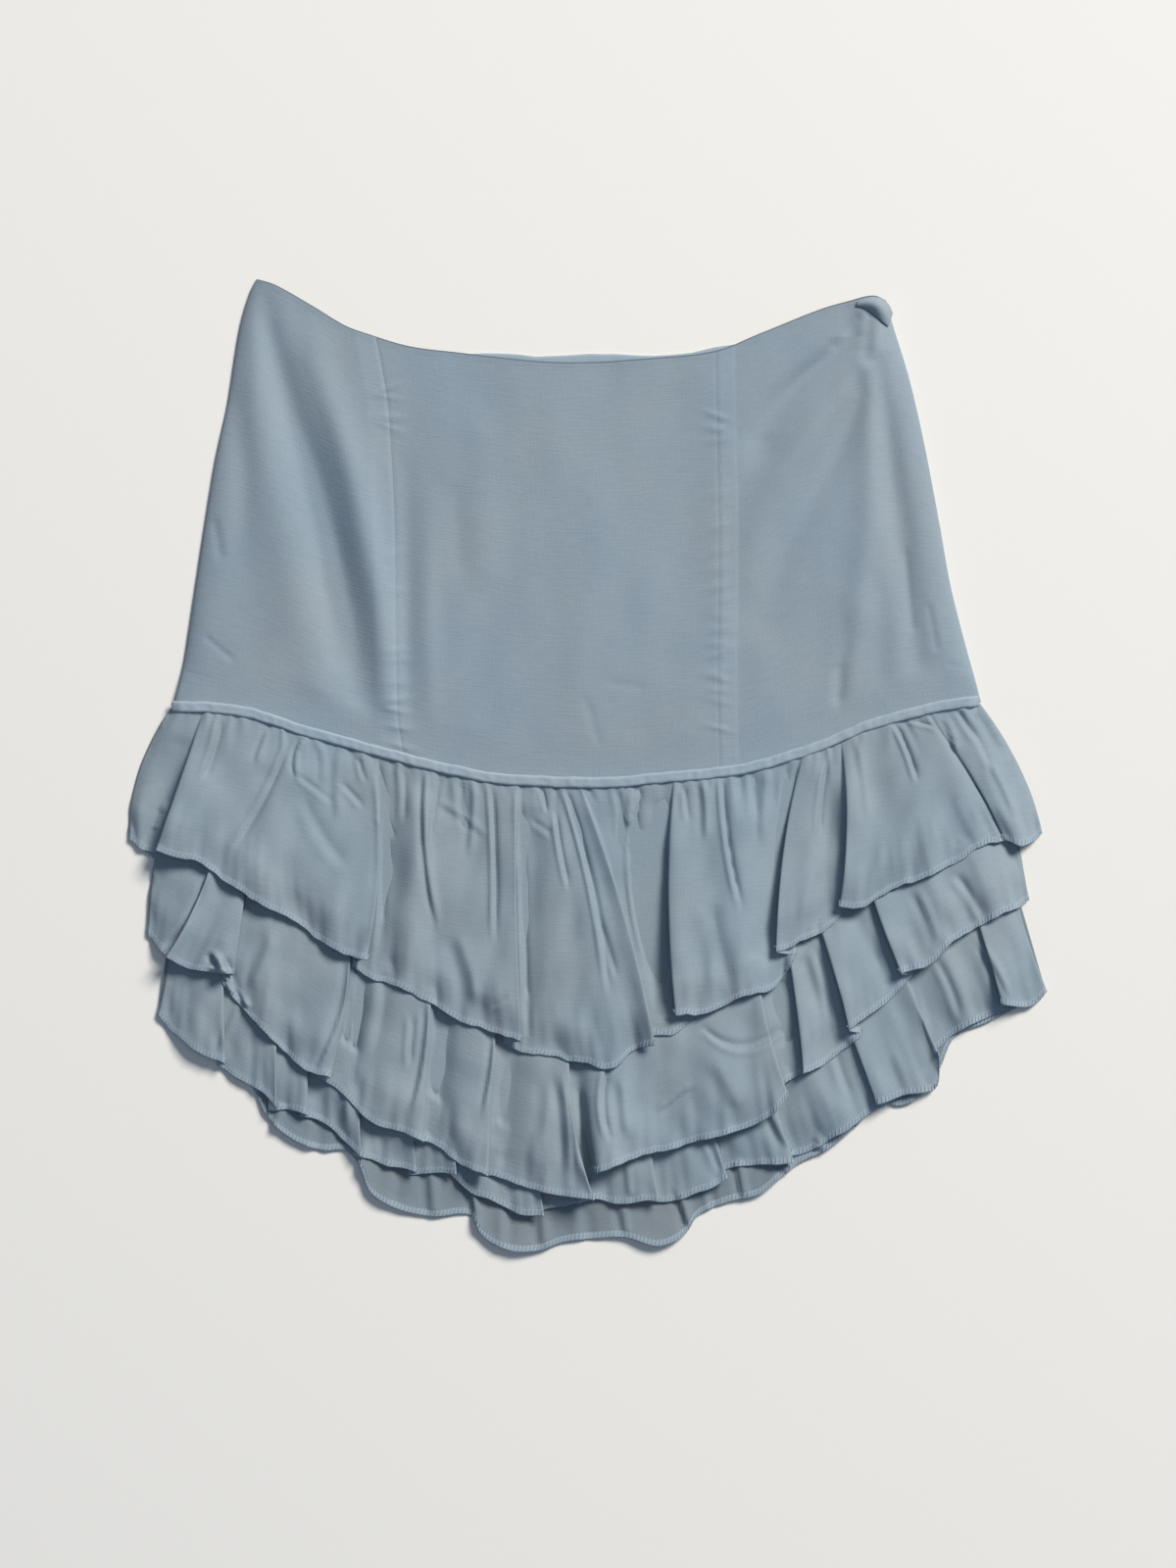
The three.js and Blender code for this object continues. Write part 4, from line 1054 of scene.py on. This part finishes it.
def yoke_height(x, y):
    """Height of the front yoke: drape folds where it lies open, turned down at the sides, up
    over the seam of the ruffles. What is below the lowest height is k ln(1 + e^(space/k)) above
    it, with the space counted from it."""
    inward = np.maximum(np.minimum(x - left_side(y), right_side(y) - x), 0)
    turned = 1 - np.sqrt(1 - np.clip(1 - inward / YOKE_SIDE_TURN, 0, 1) ** 2)
    above = y - yoke_seam(x)
    at_seam = 1 - smooth((above - YOKE_SEAM_RISE / 3) / YOKE_SEAM_RISE)
    drape = long_drapes(x, y, LONG_DRAPES) + troughs(x, y, YOKE_DRAPES + YOKE_CREASES)
    lie = uneven(x, y * 0.3, 5, 0.22, longest=64, shortest=14)
    opened = YOKE_LEVEL + (drape + lie) * (1 - at_seam)
    opened = YOKE_LOWEST + YOKE_SOFT * np.logaddexp(0, (opened - YOKE_LOWEST) / YOKE_SOFT)
    edge = mix(TABLE_LIE + SIDE_MEET, FRONT_SEAM_LEVEL - SIDE_DROP, at_seam)
    return mix(mix(opened, FRONT_SEAM_LEVEL, at_seam), edge, turned)


def puckers(away, y, rows, seed, size=0.8, width=7.0):
    """Short ripples across a seam: bells along it at uneven places, fading away from it."""
    draw = np.random.default_rng(seed)
    total = np.zeros_like(y)
    for from_y, to_y, count in rows:
        for place in np.linspace(from_y, to_y, count) + draw.uniform(-2.5, 2.5, count):
            lean = draw.uniform(-0.4, 0.4)
            bell = np.exp(-(((y - place - lean * away) / draw.uniform(1.3, 2.2)) ** 2))
            total += size * draw.uniform(0.5, 1) * bell
    return total * np.exp(-((away / width) ** 2))


def seam_relief(x, y):
    """The princess seams: a narrow groove on each, its allowance pressed flat under the cloth on
    its outer side as a low step, and its puckers."""
    from_left, from_right = x - left_princess(y), x - right_princess(y)
    groove = -SEAM_GROOVE * (np.exp(-((from_left / 0.9) ** 2)) + np.exp(-((from_right / 0.9) ** 2)))
    left_step = ALLOWANCE_STEP * smooth(-from_left / 3)
    left_step *= smooth((ALLOWANCE_LEFT + from_left) / 3)
    right_step = ALLOWANCE_STEP * smooth(from_right / 3)
    right_step *= smooth((ALLOWANCE_RIGHT - from_right) / 2.4)
    ripples = puckers(from_left, y, LEFT_PUCKERS, 11) + puckers(from_right, y, RIGHT_PUCKERS, 12)
    return groove + left_step + right_step + ripples


def painted_highlight(x, y):
    """Painted highlight on the yoke: 1 over the strips of pressed allowance beside the princess
    seams, which are painted lighter, and 0 elsewhere.
    """
    from_left, from_right = x - left_princess(y), x - right_princess(y)
    left_strip = smooth(-from_left / 0.6) * smooth((ALLOWANCE_LEFT + from_left) / 1.5)
    right_strip = smooth(from_right / 0.6) * smooth((ALLOWANCE_RIGHT - from_right) / 1.5)
    return left_strip + right_strip


def front_panel(name, left, right, grid):
    """A front yoke panel. Its columns are closer together at both sides, with one more column
    just inside each, and the turned waist edge is thicker."""
    columns, count = grid
    u = np.concatenate([[0], mix(EDGE_HOLD, 1 - EDGE_HOLD, rows_down(columns - 2)), [1]])
    x, y = panel_points(
        left, right, lambda v: yoke_seam(v) + SEAM_CLEAR, front_waist, u, rows_down(count)
    )
    to_waist = front_waist(x) - y
    z = yoke_height(x, y) + seam_relief(x, y) * smooth((y - yoke_seam(x)) / 9)
    points = np.stack([x, y, z], -1)
    thickness = CLOTH + WAIST_THICKER * smooth(1 - to_waist / WAIST_TURN)
    # The distance to the waist edge places the yoke's painted shadow along it, and the allowance
    # strips get their painted highlight.
    return cloth_piece(name, points, thickness, {"to_edge": to_waist, "painted_highlight": painted_highlight(x, y)})


def back_yoke(grid):
    """The back yoke, flat on the table but for its soft lie, up over the binding at its lower
    edge, and up at its sides to meet the front. Its waist edge is turned and a little wavy."""
    columns, count = grid
    u = np.linspace(0, 1, columns)
    u = u + 0.8 * np.sin(-2 * np.pi * u) / (2 * np.pi)
    x, y = panel_points(
        left_side, right_side, lambda v: yoke_seam(v) + SEAM_CLEAR, back_waist, u, rows_down(count)
    )
    above = y - yoke_seam(x) - BINDING_WIDTH
    lie = np.maximum(uneven(x, y, 21, 0.35, longest=70, shortest=18), 0)
    z = mix(level(1), TABLE_LIE + lie, smooth(above / BINDING_WIDTH))
    inward = np.minimum(x - left_side(y), right_side(y) - x)
    at_seam = 1 - smooth((y - yoke_seam(x) - YOKE_SEAM_RISE / 3) / YOKE_SEAM_RISE)
    edge = mix(TABLE_LIE, FRONT_SEAM_LEVEL - SIDE_DROP - SIDE_MEET, at_seam)
    z = mix(z, edge, smooth(1 - inward / SIDE_REACH))
    to_waist = back_waist(x) - y
    wave = uneven(x, 0 * x, 33, BACK_WAIST_WAVE, longest=64, shortest=14)
    y = y + wave * smooth(1 - to_waist / BACK_WAIST_REACH)
    turned = band(to_waist, WAIST_TURN, 0.7)
    z = z + BACK_WAIST_RISE * turned
    points, thickness = np.stack([x, y, z], -1), CLOTH + WAIST_THICKER * turned
    # The back's strip of waist in sight gets a painted highlight.
    marks = {"to_edge": to_waist + NO_EDGE, "painted_highlight": BACK_WAIST_HIGHLIGHT * turned}
    return cloth_piece("yoke_back_cloth", points, thickness, marks)


# Binding
def binding(name, base, rise, sign, grid, seed):
    """A strip along the yoke seam with an arched section, its two edges tucked down: height is
    base plus sign times rise times (1 - |u|^8), and small uneven ripples run along it."""
    columns, count = grid
    x = np.linspace(*BINDING_ENDS, columns)[None]
    u = np.linspace(1, -1, count)[:, None]
    offset = mix(-BINDING_BELOW, BINDING_WIDTH - BINDING_BELOW, (u + 1) / 2)
    y = yoke_seam(x) + offset + uneven(x, x * 0, seed, 0.22, longest=30, shortest=5)
    ripple = uneven(x, offset * 0.5, seed + 1, 0.14, longest=11, shortest=4)
    z = base(x) + sign * (rise * (1 - np.abs(u) ** 8) + ripple * (1 - u**2))
    x, y, z = np.broadcast_arrays(x, y, z)
    to_edge = BINDING_WIDTH / 2 * (1 - np.abs(u)) + 0 * x
    return cloth_piece(name, np.stack([x, y, z], -1), BINDING_CLOTH, {"to_edge": to_edge})


def corner_fold(grid):
    """The turned-over corner: sections along x, each a low arch across, leaning outwards."""
    columns, count = grid
    c = named(CORNER, CORNER_FOLD)
    along = np.linspace(c["x"][0], c["x"][-1], columns)[None]
    middle, width, rise = (
        through(np.stack([c["x"], c[key]], -1))(along) for key in ("y", "width", "rise")
    )
    part = np.linspace(1, 0, count)[:, None]
    across = (part - 0.5) * width
    x, y = along + across * CORNER_LEAN, middle + across
    z = yoke_height(x, y) + LAYER - CORNER_SINK + rise * np.sin(np.pi * part)
    points, marks = np.stack([x, y, z], -1), {"to_edge": NO_EDGE + 0 * x}
    return cloth_piece("waist_corner_fold_cloth", points, CORNER_CLOTH, marks)


def base_panel(name, height, grid):
    """The panel inside that carries the lower tiers, flat between its layers."""
    columns, count = grid
    u, v = np.meshgrid(np.linspace(0, 1, columns), np.linspace(0, 1, count))
    x = mix(*BASE_ENDS, u)
    y = mix(yoke_seam(x) - SEAM_CLEAR, third_seam(x) - BASE_REACH, v)
    points = np.stack([x, y, height + 0 * x], -1)
    return cloth_piece(name, points, CLOTH, {"to_edge": NO_EDGE + 0 * x})


# Overlock stitches
def overlock(name, points, side, pitch=2.2, reach=3.8, slant=1.7, radius=0.3):
    """Slanted stitches over a hem, all in one mesh. Each is a square rod of five sections that
    arches from the cloth over the edge. Its middle line goes reach up the cloth, and slant along
    it. The sections' corners are the middle line moved by the radius along and off the cloth."""
    edge, inner = points[-1], points[-4]
    run = run_along(edge[None], 1)[0]
    at = np.arange(pitch, run[-1] - pitch, pitch)

    def place(values):
        """Each of three columns, read off where the stitches are."""
        return np.stack([np.interp(at, run, values[:, k]) for k in range(3)], -1)

    off = outward(points)[-3] * side
    hem, normal = place(edge), place(off)
    up = place(inner) - hem
    up /= np.linalg.norm(up, axis=-1, keepdims=True)
    normal /= np.linalg.norm(normal, axis=-1, keepdims=True)
    way = np.cross(up, normal)
    s, lift, thick = (
        np.array(row)[None, :, None] for row in (STITCH_ALONG, STITCH_LIFT, STITCH_THICK)
    )
    middle = hem[:, None] + up[:, None] * reach * s + way[:, None] * slant * s
    middle = middle + normal[:, None] * lift
    wide, high = way[:, None] * (radius * thick), normal[:, None] * (radius * thick)
    corners = [wide, high, -wide, -high]
    rod = np.stack([middle + c for c in corners], 2).reshape(-1, 3)
    k, r = np.meshgrid(np.arange(4), np.arange(4), indexing="ij")
    q = (k * 4 + r).ravel()
    w = (k * 4 + (r + 1) % 4).ravel()
    body = np.stack([q, w, w + 4, q + 4], -1)
    caps = np.array([[3, 2, 1, 0], [16, 17, 18, 19]])
    unit = np.concatenate([body, caps])
    quads = (unit[None] + 20 * np.arange(len(at))[:, None, None]).reshape(-1, 4)
    return make_mesh(name, rod, quads, np.zeros((len(rod), 2)))


# Finishes
def node(tree, kind, **settings):
    """A node of a kind, with its properties set by name and its inputs set by a dictionary."""
    made = tree.nodes.new(kind)
    values = settings.pop("inputs", {})
    for key, value in settings.items():
        setattr(made, key, value)
    for key, value in values.items():
        made.inputs[key].default_value = value
    return made


def new_group(name, inputs, outputs):
    """An empty node group with named inputs (kind, start value) and outputs (kind)."""
    tree = bpy.data.node_groups.new(name, "ShaderNodeTree")
    for key, (kind, value) in inputs.items():
        made = tree.interface.new_socket(key, in_out="INPUT", socket_type=kind)
        if value is not None:
            made.default_value = value
    for key, kind in outputs.items():
        tree.interface.new_socket(key, in_out="OUTPUT", socket_type=kind)
    return tree, tree.nodes.new("NodeGroupInput"), tree.nodes.new("NodeGroupOutput")


COLOUR, NUMBER, VECTOR = "NodeSocketColor", "NodeSocketFloat", "NodeSocketVector"


def streaks(tree, vector, scale, detail):
    """Noise drawn out along the cloth: its scale is in streaks per metre across and down."""
    stretch = node(tree, "ShaderNodeMapping", vector_type="POINT", inputs={"Scale": scale})
    noise = node(tree, "ShaderNodeTexNoise", inputs={"Scale": 1.0, "Detail": detail})
    tree.links.new(vector, stretch.inputs["Vector"])
    tree.links.new(stretch.outputs[0], noise.inputs["Vector"])
    return noise.outputs["Fac"]


def join(tree, operation, a, b, c=None):
    """A sum, product or other join of two or three values."""
    made = node(tree, "ShaderNodeMath", operation=operation)
    for place, value in enumerate(v for v in (a, b, c) if v is not None):
        if isinstance(value, (int, float)):
            made.inputs[place].default_value = value
        else:
            tree.links.new(value, made.inputs[place])
    return made.outputs[0]


def woven_group():
    """Plain woven cloth: thick and thin weft threads as long thin streaks across, finer warp
    streaks down, broad faint clouds in its dye, and others where it is washed out greyer. Gives
    the colour and the height."""
    inputs = {"Cloth": (VECTOR, None), "Place": (VECTOR, None), "Dye": (COLOUR, None)}
    inputs |= {"Slub": (NUMBER, 0.1), "Cloud": (NUMBER, 0.05)}
    tree, given, out = new_group("woven cloth", inputs, {"Color": COLOUR, "Height": NUMBER})
    weft = streaks(tree, given.outputs["Cloth"], (95, 900, 1), 3.0)
    warp = streaks(tree, given.outputs["Cloth"], (1000, 130, 1), 2.0)
    grain = streaks(tree, given.outputs["Cloth"], (1500, 1500, 1), 1.0)
    cloud = streaks(tree, given.outputs["Place"], (14, 9, 9), 3.0)
    height = join(tree, "MULTIPLY_ADD", weft, 0.55, join(tree, "MULTIPLY", warp, 0.3))
    height = join(tree, "MULTIPLY_ADD", grain, 0.35, height)
    threads = join(tree, "MULTIPLY", join(tree, "SUBTRACT", height, 0.6), given.outputs["Slub"])
    clouds = join(tree, "MULTIPLY", join(tree, "SUBTRACT", cloud, 0.5), given.outputs["Cloud"])
    value = join(tree, "ADD", join(tree, "ADD", threads, clouds), 1.0)
    wash = streaks(tree, given.outputs["Place"], (16, 12, 12), 3.0)
    washed = join(tree, "MULTIPLY_ADD", wash, 0.8, 0.55)
    shade = node(tree, "ShaderNodeHueSaturation")
    tree.links.new(washed, shade.inputs["Saturation"])
    tree.links.new(value, shade.inputs["Value"])
    tree.links.new(given.outputs["Dye"], shade.inputs["Color"])
    tree.links.new(shade.outputs[0], out.inputs["Color"])
    tree.links.new(height, out.inputs["Height"])
    return tree


def edge_group():
    """A band along an edge: 1 up to Width millimetres from it, and 0 beyond."""
    inputs = {"Distance": (NUMBER, 0.0), "Width": (NUMBER, 4.0)}
    tree, given, out = new_group("edge band", inputs, {"Mask": NUMBER})
    inside = join(tree, "SUBTRACT", given.outputs["Width"], given.outputs["Distance"])
    fade = node(tree, "ShaderNodeMapRange", clamp=True, inputs={"From Max": 0.6})
    tree.links.new(inside, fade.inputs["Value"])
    tree.links.new(fade.outputs["Result"], out.inputs["Mask"])
    return tree


WOVEN, EDGE = woven_group(), edge_group()


def place_group(tree, group, **values):
    """A group's node in a material, each input linked to a socket or set to a value."""
    made = node(tree, "ShaderNodeGroup", node_tree=group)
    for key, value in values.items():
        if hasattr(value, "is_linked"):
            tree.links.new(value, made.inputs[key])
        else:
            made.inputs[key].default_value = value
    return made


PAINTED_HIGHLIGHT_STEP = 0.07  # painted highlight: how much lighter each step of the highlight mark makes the cloth
CLOTH_SURFACE = {
    "Roughness": 0.8,
    "Specular IOR Level": 0.25,
    "Sheen Weight": 0.12,
    "Sheen Roughness": 0.5,
}


def cloth_finish(name, dye, edge_thread_and_shading, edge_width, slub=0.3, cloud=0.16):
    """Woven cloth with a band of another colour along its edge and lighter where the highlight mark
    says, with a slight nap and a slight sheen. The edge band is painted shadow on the yoke's waist
    edge, painted highlight on the binding's edges and the thread's own colour on the hems; the
    lighter places are painted highlight."""
    made = bpy.data.materials.new(name)
    made.use_nodes = True
    tree = made.node_tree
    shader = tree.nodes["Principled BSDF"]
    cloth_map = node(tree, "ShaderNodeUVMap", uv_map="cloth")
    spot = node(tree, "ShaderNodeTexCoord")
    distance = node(tree, "ShaderNodeAttribute", attribute_name="to_edge")
    woven = place_group(
        tree,
        WOVEN,
        Cloth=cloth_map.outputs["UV"],
        Place=spot.outputs["Object"],
        Dye=(*dye, 1),
        Slub=slub,
        Cloud=cloud,
    )
    edge = place_group(tree, EDGE, Distance=distance.outputs["Fac"], Width=edge_width)
    # Painted highlight: the cloth is made lighter where the highlight mark is set.
    highlight_mark = node(tree, "ShaderNodeAttribute", attribute_name="painted_highlight")
    lighter = join(tree, "MULTIPLY_ADD", highlight_mark.outputs["Fac"], PAINTED_HIGHLIGHT_STEP, 1.0)
    highlighted = node(tree, "ShaderNodeHueSaturation")
    tree.links.new(lighter, highlighted.inputs["Value"])
    tree.links.new(woven.outputs["Color"], highlighted.inputs["Color"])
    # The edge band's colour: painted shadow on the yoke's waist edge, painted highlight on the
    # binding's edges, the thread's own colour on the hems.
    tint = node(tree, "ShaderNodeMix", data_type="RGBA")
    tree.links.new(edge.outputs["Mask"], tint.inputs["Factor"])
    tree.links.new(highlighted.outputs["Color"], tint.inputs["A"])
    tint.inputs["B"].default_value = (*edge_thread_and_shading, 1)
    bump = node(tree, "ShaderNodeBump", inputs={"Strength": 0.6, "Distance": 0.0004})
    tree.links.new(woven.outputs["Height"], bump.inputs["Height"])
    tree.links.new(tint.outputs["Result"], shader.inputs["Base Color"])
    tree.links.new(bump.outputs["Normal"], shader.inputs["Normal"])
    for key, value in CLOTH_SURFACE.items():
        shader.inputs[key].default_value = value
    return made


# The ruffles' colour is the yoke's cloth made a little darker: its dye, plus painted shade for
# their folds.
RUFFLE_DYE_AND_SHADE = (0.232, 0.291, 0.334)
YOKE_DYE = (0.242, 0.303, 0.35)
BINDING_DYE = (0.285, 0.358, 0.412)
# The binding's edge band is a painted highlight along its folded edges.
BINDING_EDGE_HIGHLIGHT = (0.40, 0.49, 0.56)
# The yoke's edge band is a painted shadow along the front's waist edge, where the gap under it is
# dark.
WAIST_EDGE_SHADOW = (0.09, 0.12, 0.15)
# The inside of the lowest back tier is the same cloth darkened: painted shade.
INSIDE_PAINTED_SHADE = (0.175, 0.216, 0.248)
THREAD_DYE = (0.27, 0.337, 0.392)
HEM_EDGE = 3.8  # width of the band of thread along a hem
ruffle_finish = cloth_finish("ruffle cloth", RUFFLE_DYE_AND_SHADE, THREAD_DYE, HEM_EDGE)
yoke_finish = cloth_finish("yoke cloth", YOKE_DYE, WAIST_EDGE_SHADOW, 0.9, slub=0.34)
binding_finish = cloth_finish("binding cloth", BINDING_DYE, BINDING_EDGE_HIGHLIGHT, 0.7)
shaded_inside_finish = cloth_finish("ruffle cloth inside in painted shade", INSIDE_PAINTED_SHADE, THREAD_DYE, HEM_EDGE)
thread_finish = cloth_finish("overlock thread", THREAD_DYE, THREAD_DYE, 0.0)


def wear(piece, node_name, finish):
    """Puts a piece in its node's place and gives it its finish."""
    piece.data.materials.append(finish)
    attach(piece, "root")
    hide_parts(node_name)


def stitched(piece):
    """Gives a hem's stitches their thread, and lets them ride on the skirt."""
    piece.data.materials.append(thread_finish)
    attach(piece, "root")
    return piece


def beside(seam, gap):
    """A panel's side edge, that far to the right of a princess seam."""
    return lambda y: seam(y) + gap


wear(back_yoke((90, 70)), "yoke_back", yoke_finish)
for name, left, right, columns in (
    ("yoke_front_left", left_side, beside(left_princess, -PANEL_GAP), 98),
    (
        "yoke_front_centre",
        beside(left_princess, PANEL_GAP),
        beside(right_princess, -PANEL_GAP),
        132,
    ),
    ("yoke_front_right", beside(right_princess, PANEL_GAP), right_side, 98),
):
    panel = front_panel(name + "_cloth", left, right, (columns, 170))
    wear(panel, name, yoke_finish)
corner = corner_fold((34, 14))
wear(corner, "waist_corner_fold", yoke_finish)

for name, below, sign, base in (
    ("binding_front", "ruffle_front_1", 1, lambda x: seam_height(x) + FRONT_BINDING_LIFT),
    ("binding_back", "table", -1, lambda x: BACK_BINDING_LEVEL + 0 * x),
):
    rise = FRONT_BINDING_RISE if sign > 0 else BACK_BINDING_RISE
    strip = binding(name + "_cloth", base, rise, sign, (640, 11), 31 + sign)
    wear(strip, name, binding_finish)

for name, n, below in (("base_front", 3, "base_back"), ("base_back", 2, "ruffle_back_1")):
    panel = base_panel(name + "_cloth", level(n), (60, 16))
    wear(panel, name, ruffle_finish)

# Stations, seam, drop, mean and hidden height, folds, swells, the gathers' pitch, size and
# reach, and how far the hem droops
FRONT_TIERS = {
    "ruffle_front_3": (
        FRONT_3, third_seam, 0, 7.0, 4.2,
        TIER_3_FOLDS, TIER_3_SWELLS, 12, 0.4, 50, 1.2,
    ),
    "ruffle_front_2": (
        FRONT_2, second_seam, 0, 13.0, 8.6,
        TIER_2_FOLDS, TIER_2_SWELLS, 11, 0.5, 70, 2.6,
    ),
    "ruffle_front_1": (
        FRONT_1, yoke_seam, SEAM_CLEAR, 14.2, 9.6,
        TIER_1_FOLDS, TIER_1_SWELLS, 5, 1.0, 32, 3.2,
    ),
}
FRONT_GRIDS = {  # columns across, rows down
    "ruffle_front_3": (520, 40),
    "ruffle_front_2": (560, 70),
    "ruffle_front_1": (540, 86),
}
BACK_TIERS = {  # stations, seam, high until, flat from, grid, height of the front's side at the hem
    "ruffle_back_1": (BACK_1, yoke_seam, 3, 8, (200, 34), 2.2),
    "ruffle_back_2": (BACK_2, second_seam, 34, 42, (200, 30), 2.4),
    "ruffle_back_3": (BACK_3, third_seam, 34, 42, (330, 44), 2.4),
}
beneath = np.zeros(MAP_CELLS)
for seed, (name, row) in enumerate(BACK_TIERS.items(), 60):
    *shape, edge = row
    tier, points = back_tier(name + "_cloth", *shape, seed, edge)
    beneath = np.maximum(beneath, height_map(points))
    shows_inside = name == "ruffle_back_3"
    hem = stitched(overlock(name + "_overlock", points, 1 if shows_inside else -1))
    # The lowest back tier shows its inside in the darker finish, which is painted shade.
    finish = shaded_inside_finish if shows_inside else ruffle_finish
    wear(tier, name, finish)
for seed, (name, row) in enumerate(FRONT_TIERS.items(), 40):
    tier, points = front_tier(name + "_cloth", row, FRONT_GRIDS[name], 3 * seed, beneath)
    beneath = np.maximum(beneath, height_map(points))
    hem = stitched(overlock(name + "_overlock", points, 1))
    wear(tier, name, ruffle_finish)

# Table, light and camera, in metres
TABLE_SIZE = 6
PAPER = {"Base Color": (0.8, 0.782, 0.74, 1), "Roughness": 0.95, "Specular IOR Level": 0.1}
WINDOW_PLACE, WINDOW_SIZE, WINDOW_WATTS = (4.6, 5.3, 6.0), 3.0, 1150
WINDOW_TINT = (1, 0.955, 0.895)
CEILING_PLACE, CEILING_SIZE, CEILING_WATTS = (0.0, 0.0, 5.5), 3.0, 30
SKY_TINT, SKY_STRENGTH = (0.38, 0.63, 1.0, 1), 0.2
CAMERA_HEIGHT = 2.2
FRAME_HEIGHT = 0.88  # height of the part of the table in view
FRAME_MIDDLE = (0.0, -0.01045)
SENSOR = 24  # millimetres

bpy.ops.mesh.primitive_plane_add(size=TABLE_SIZE, location=(0, 0, 0))
table = bpy.context.object
table.name = "table"
paper = bpy.data.materials.new("pale table")
paper.use_nodes = True
for key, value in PAPER.items():
    paper.node_tree.nodes["Principled BSDF"].inputs[key].default_value = value
table.data.materials.append(paper)


def soft_light(name, place, size, watts, tint=(1, 1, 1)):
    """A square area light, turned to face the skirt's middle."""
    lamp = bpy.data.lights.new(name, "AREA")
    lamp.shape, lamp.size, lamp.energy, lamp.color = "SQUARE", size, watts, tint
    made = bpy.data.objects.new(name, lamp)
    made.location = place
    bpy.context.collection.objects.link(made)
    way = np.zeros(3) - np.array(place)
    lean = float(np.arctan2(np.hypot(way[0], way[1]), -way[2]))
    made.rotation_euler = (lean, 0, float(np.arctan2(-way[0], way[1])))


soft_light("window", WINDOW_PLACE, WINDOW_SIZE, WINDOW_WATTS, WINDOW_TINT)
soft_light("ceiling", CEILING_PLACE, CEILING_SIZE, CEILING_WATTS)
sky = bpy.data.worlds.new("room")
sky.use_nodes = True
sky.node_tree.nodes["Background"].inputs["Color"].default_value = SKY_TINT
sky.node_tree.nodes["Background"].inputs["Strength"].default_value = SKY_STRENGTH
bpy.context.scene.world = sky
bpy.context.scene.view_settings.view_transform = "Standard"

camera = bpy.data.cameras.new("camera")
camera.sensor_fit = "VERTICAL"
camera.sensor_height = SENSOR
camera.lens = SENSOR * CAMERA_HEIGHT / FRAME_HEIGHT
viewpoint = bpy.data.objects.new("camera", camera)
viewpoint.location = (*FRAME_MIDDLE, CAMERA_HEIGHT)
bpy.context.collection.objects.link(viewpoint)
bpy.context.scene.camera = viewpoint
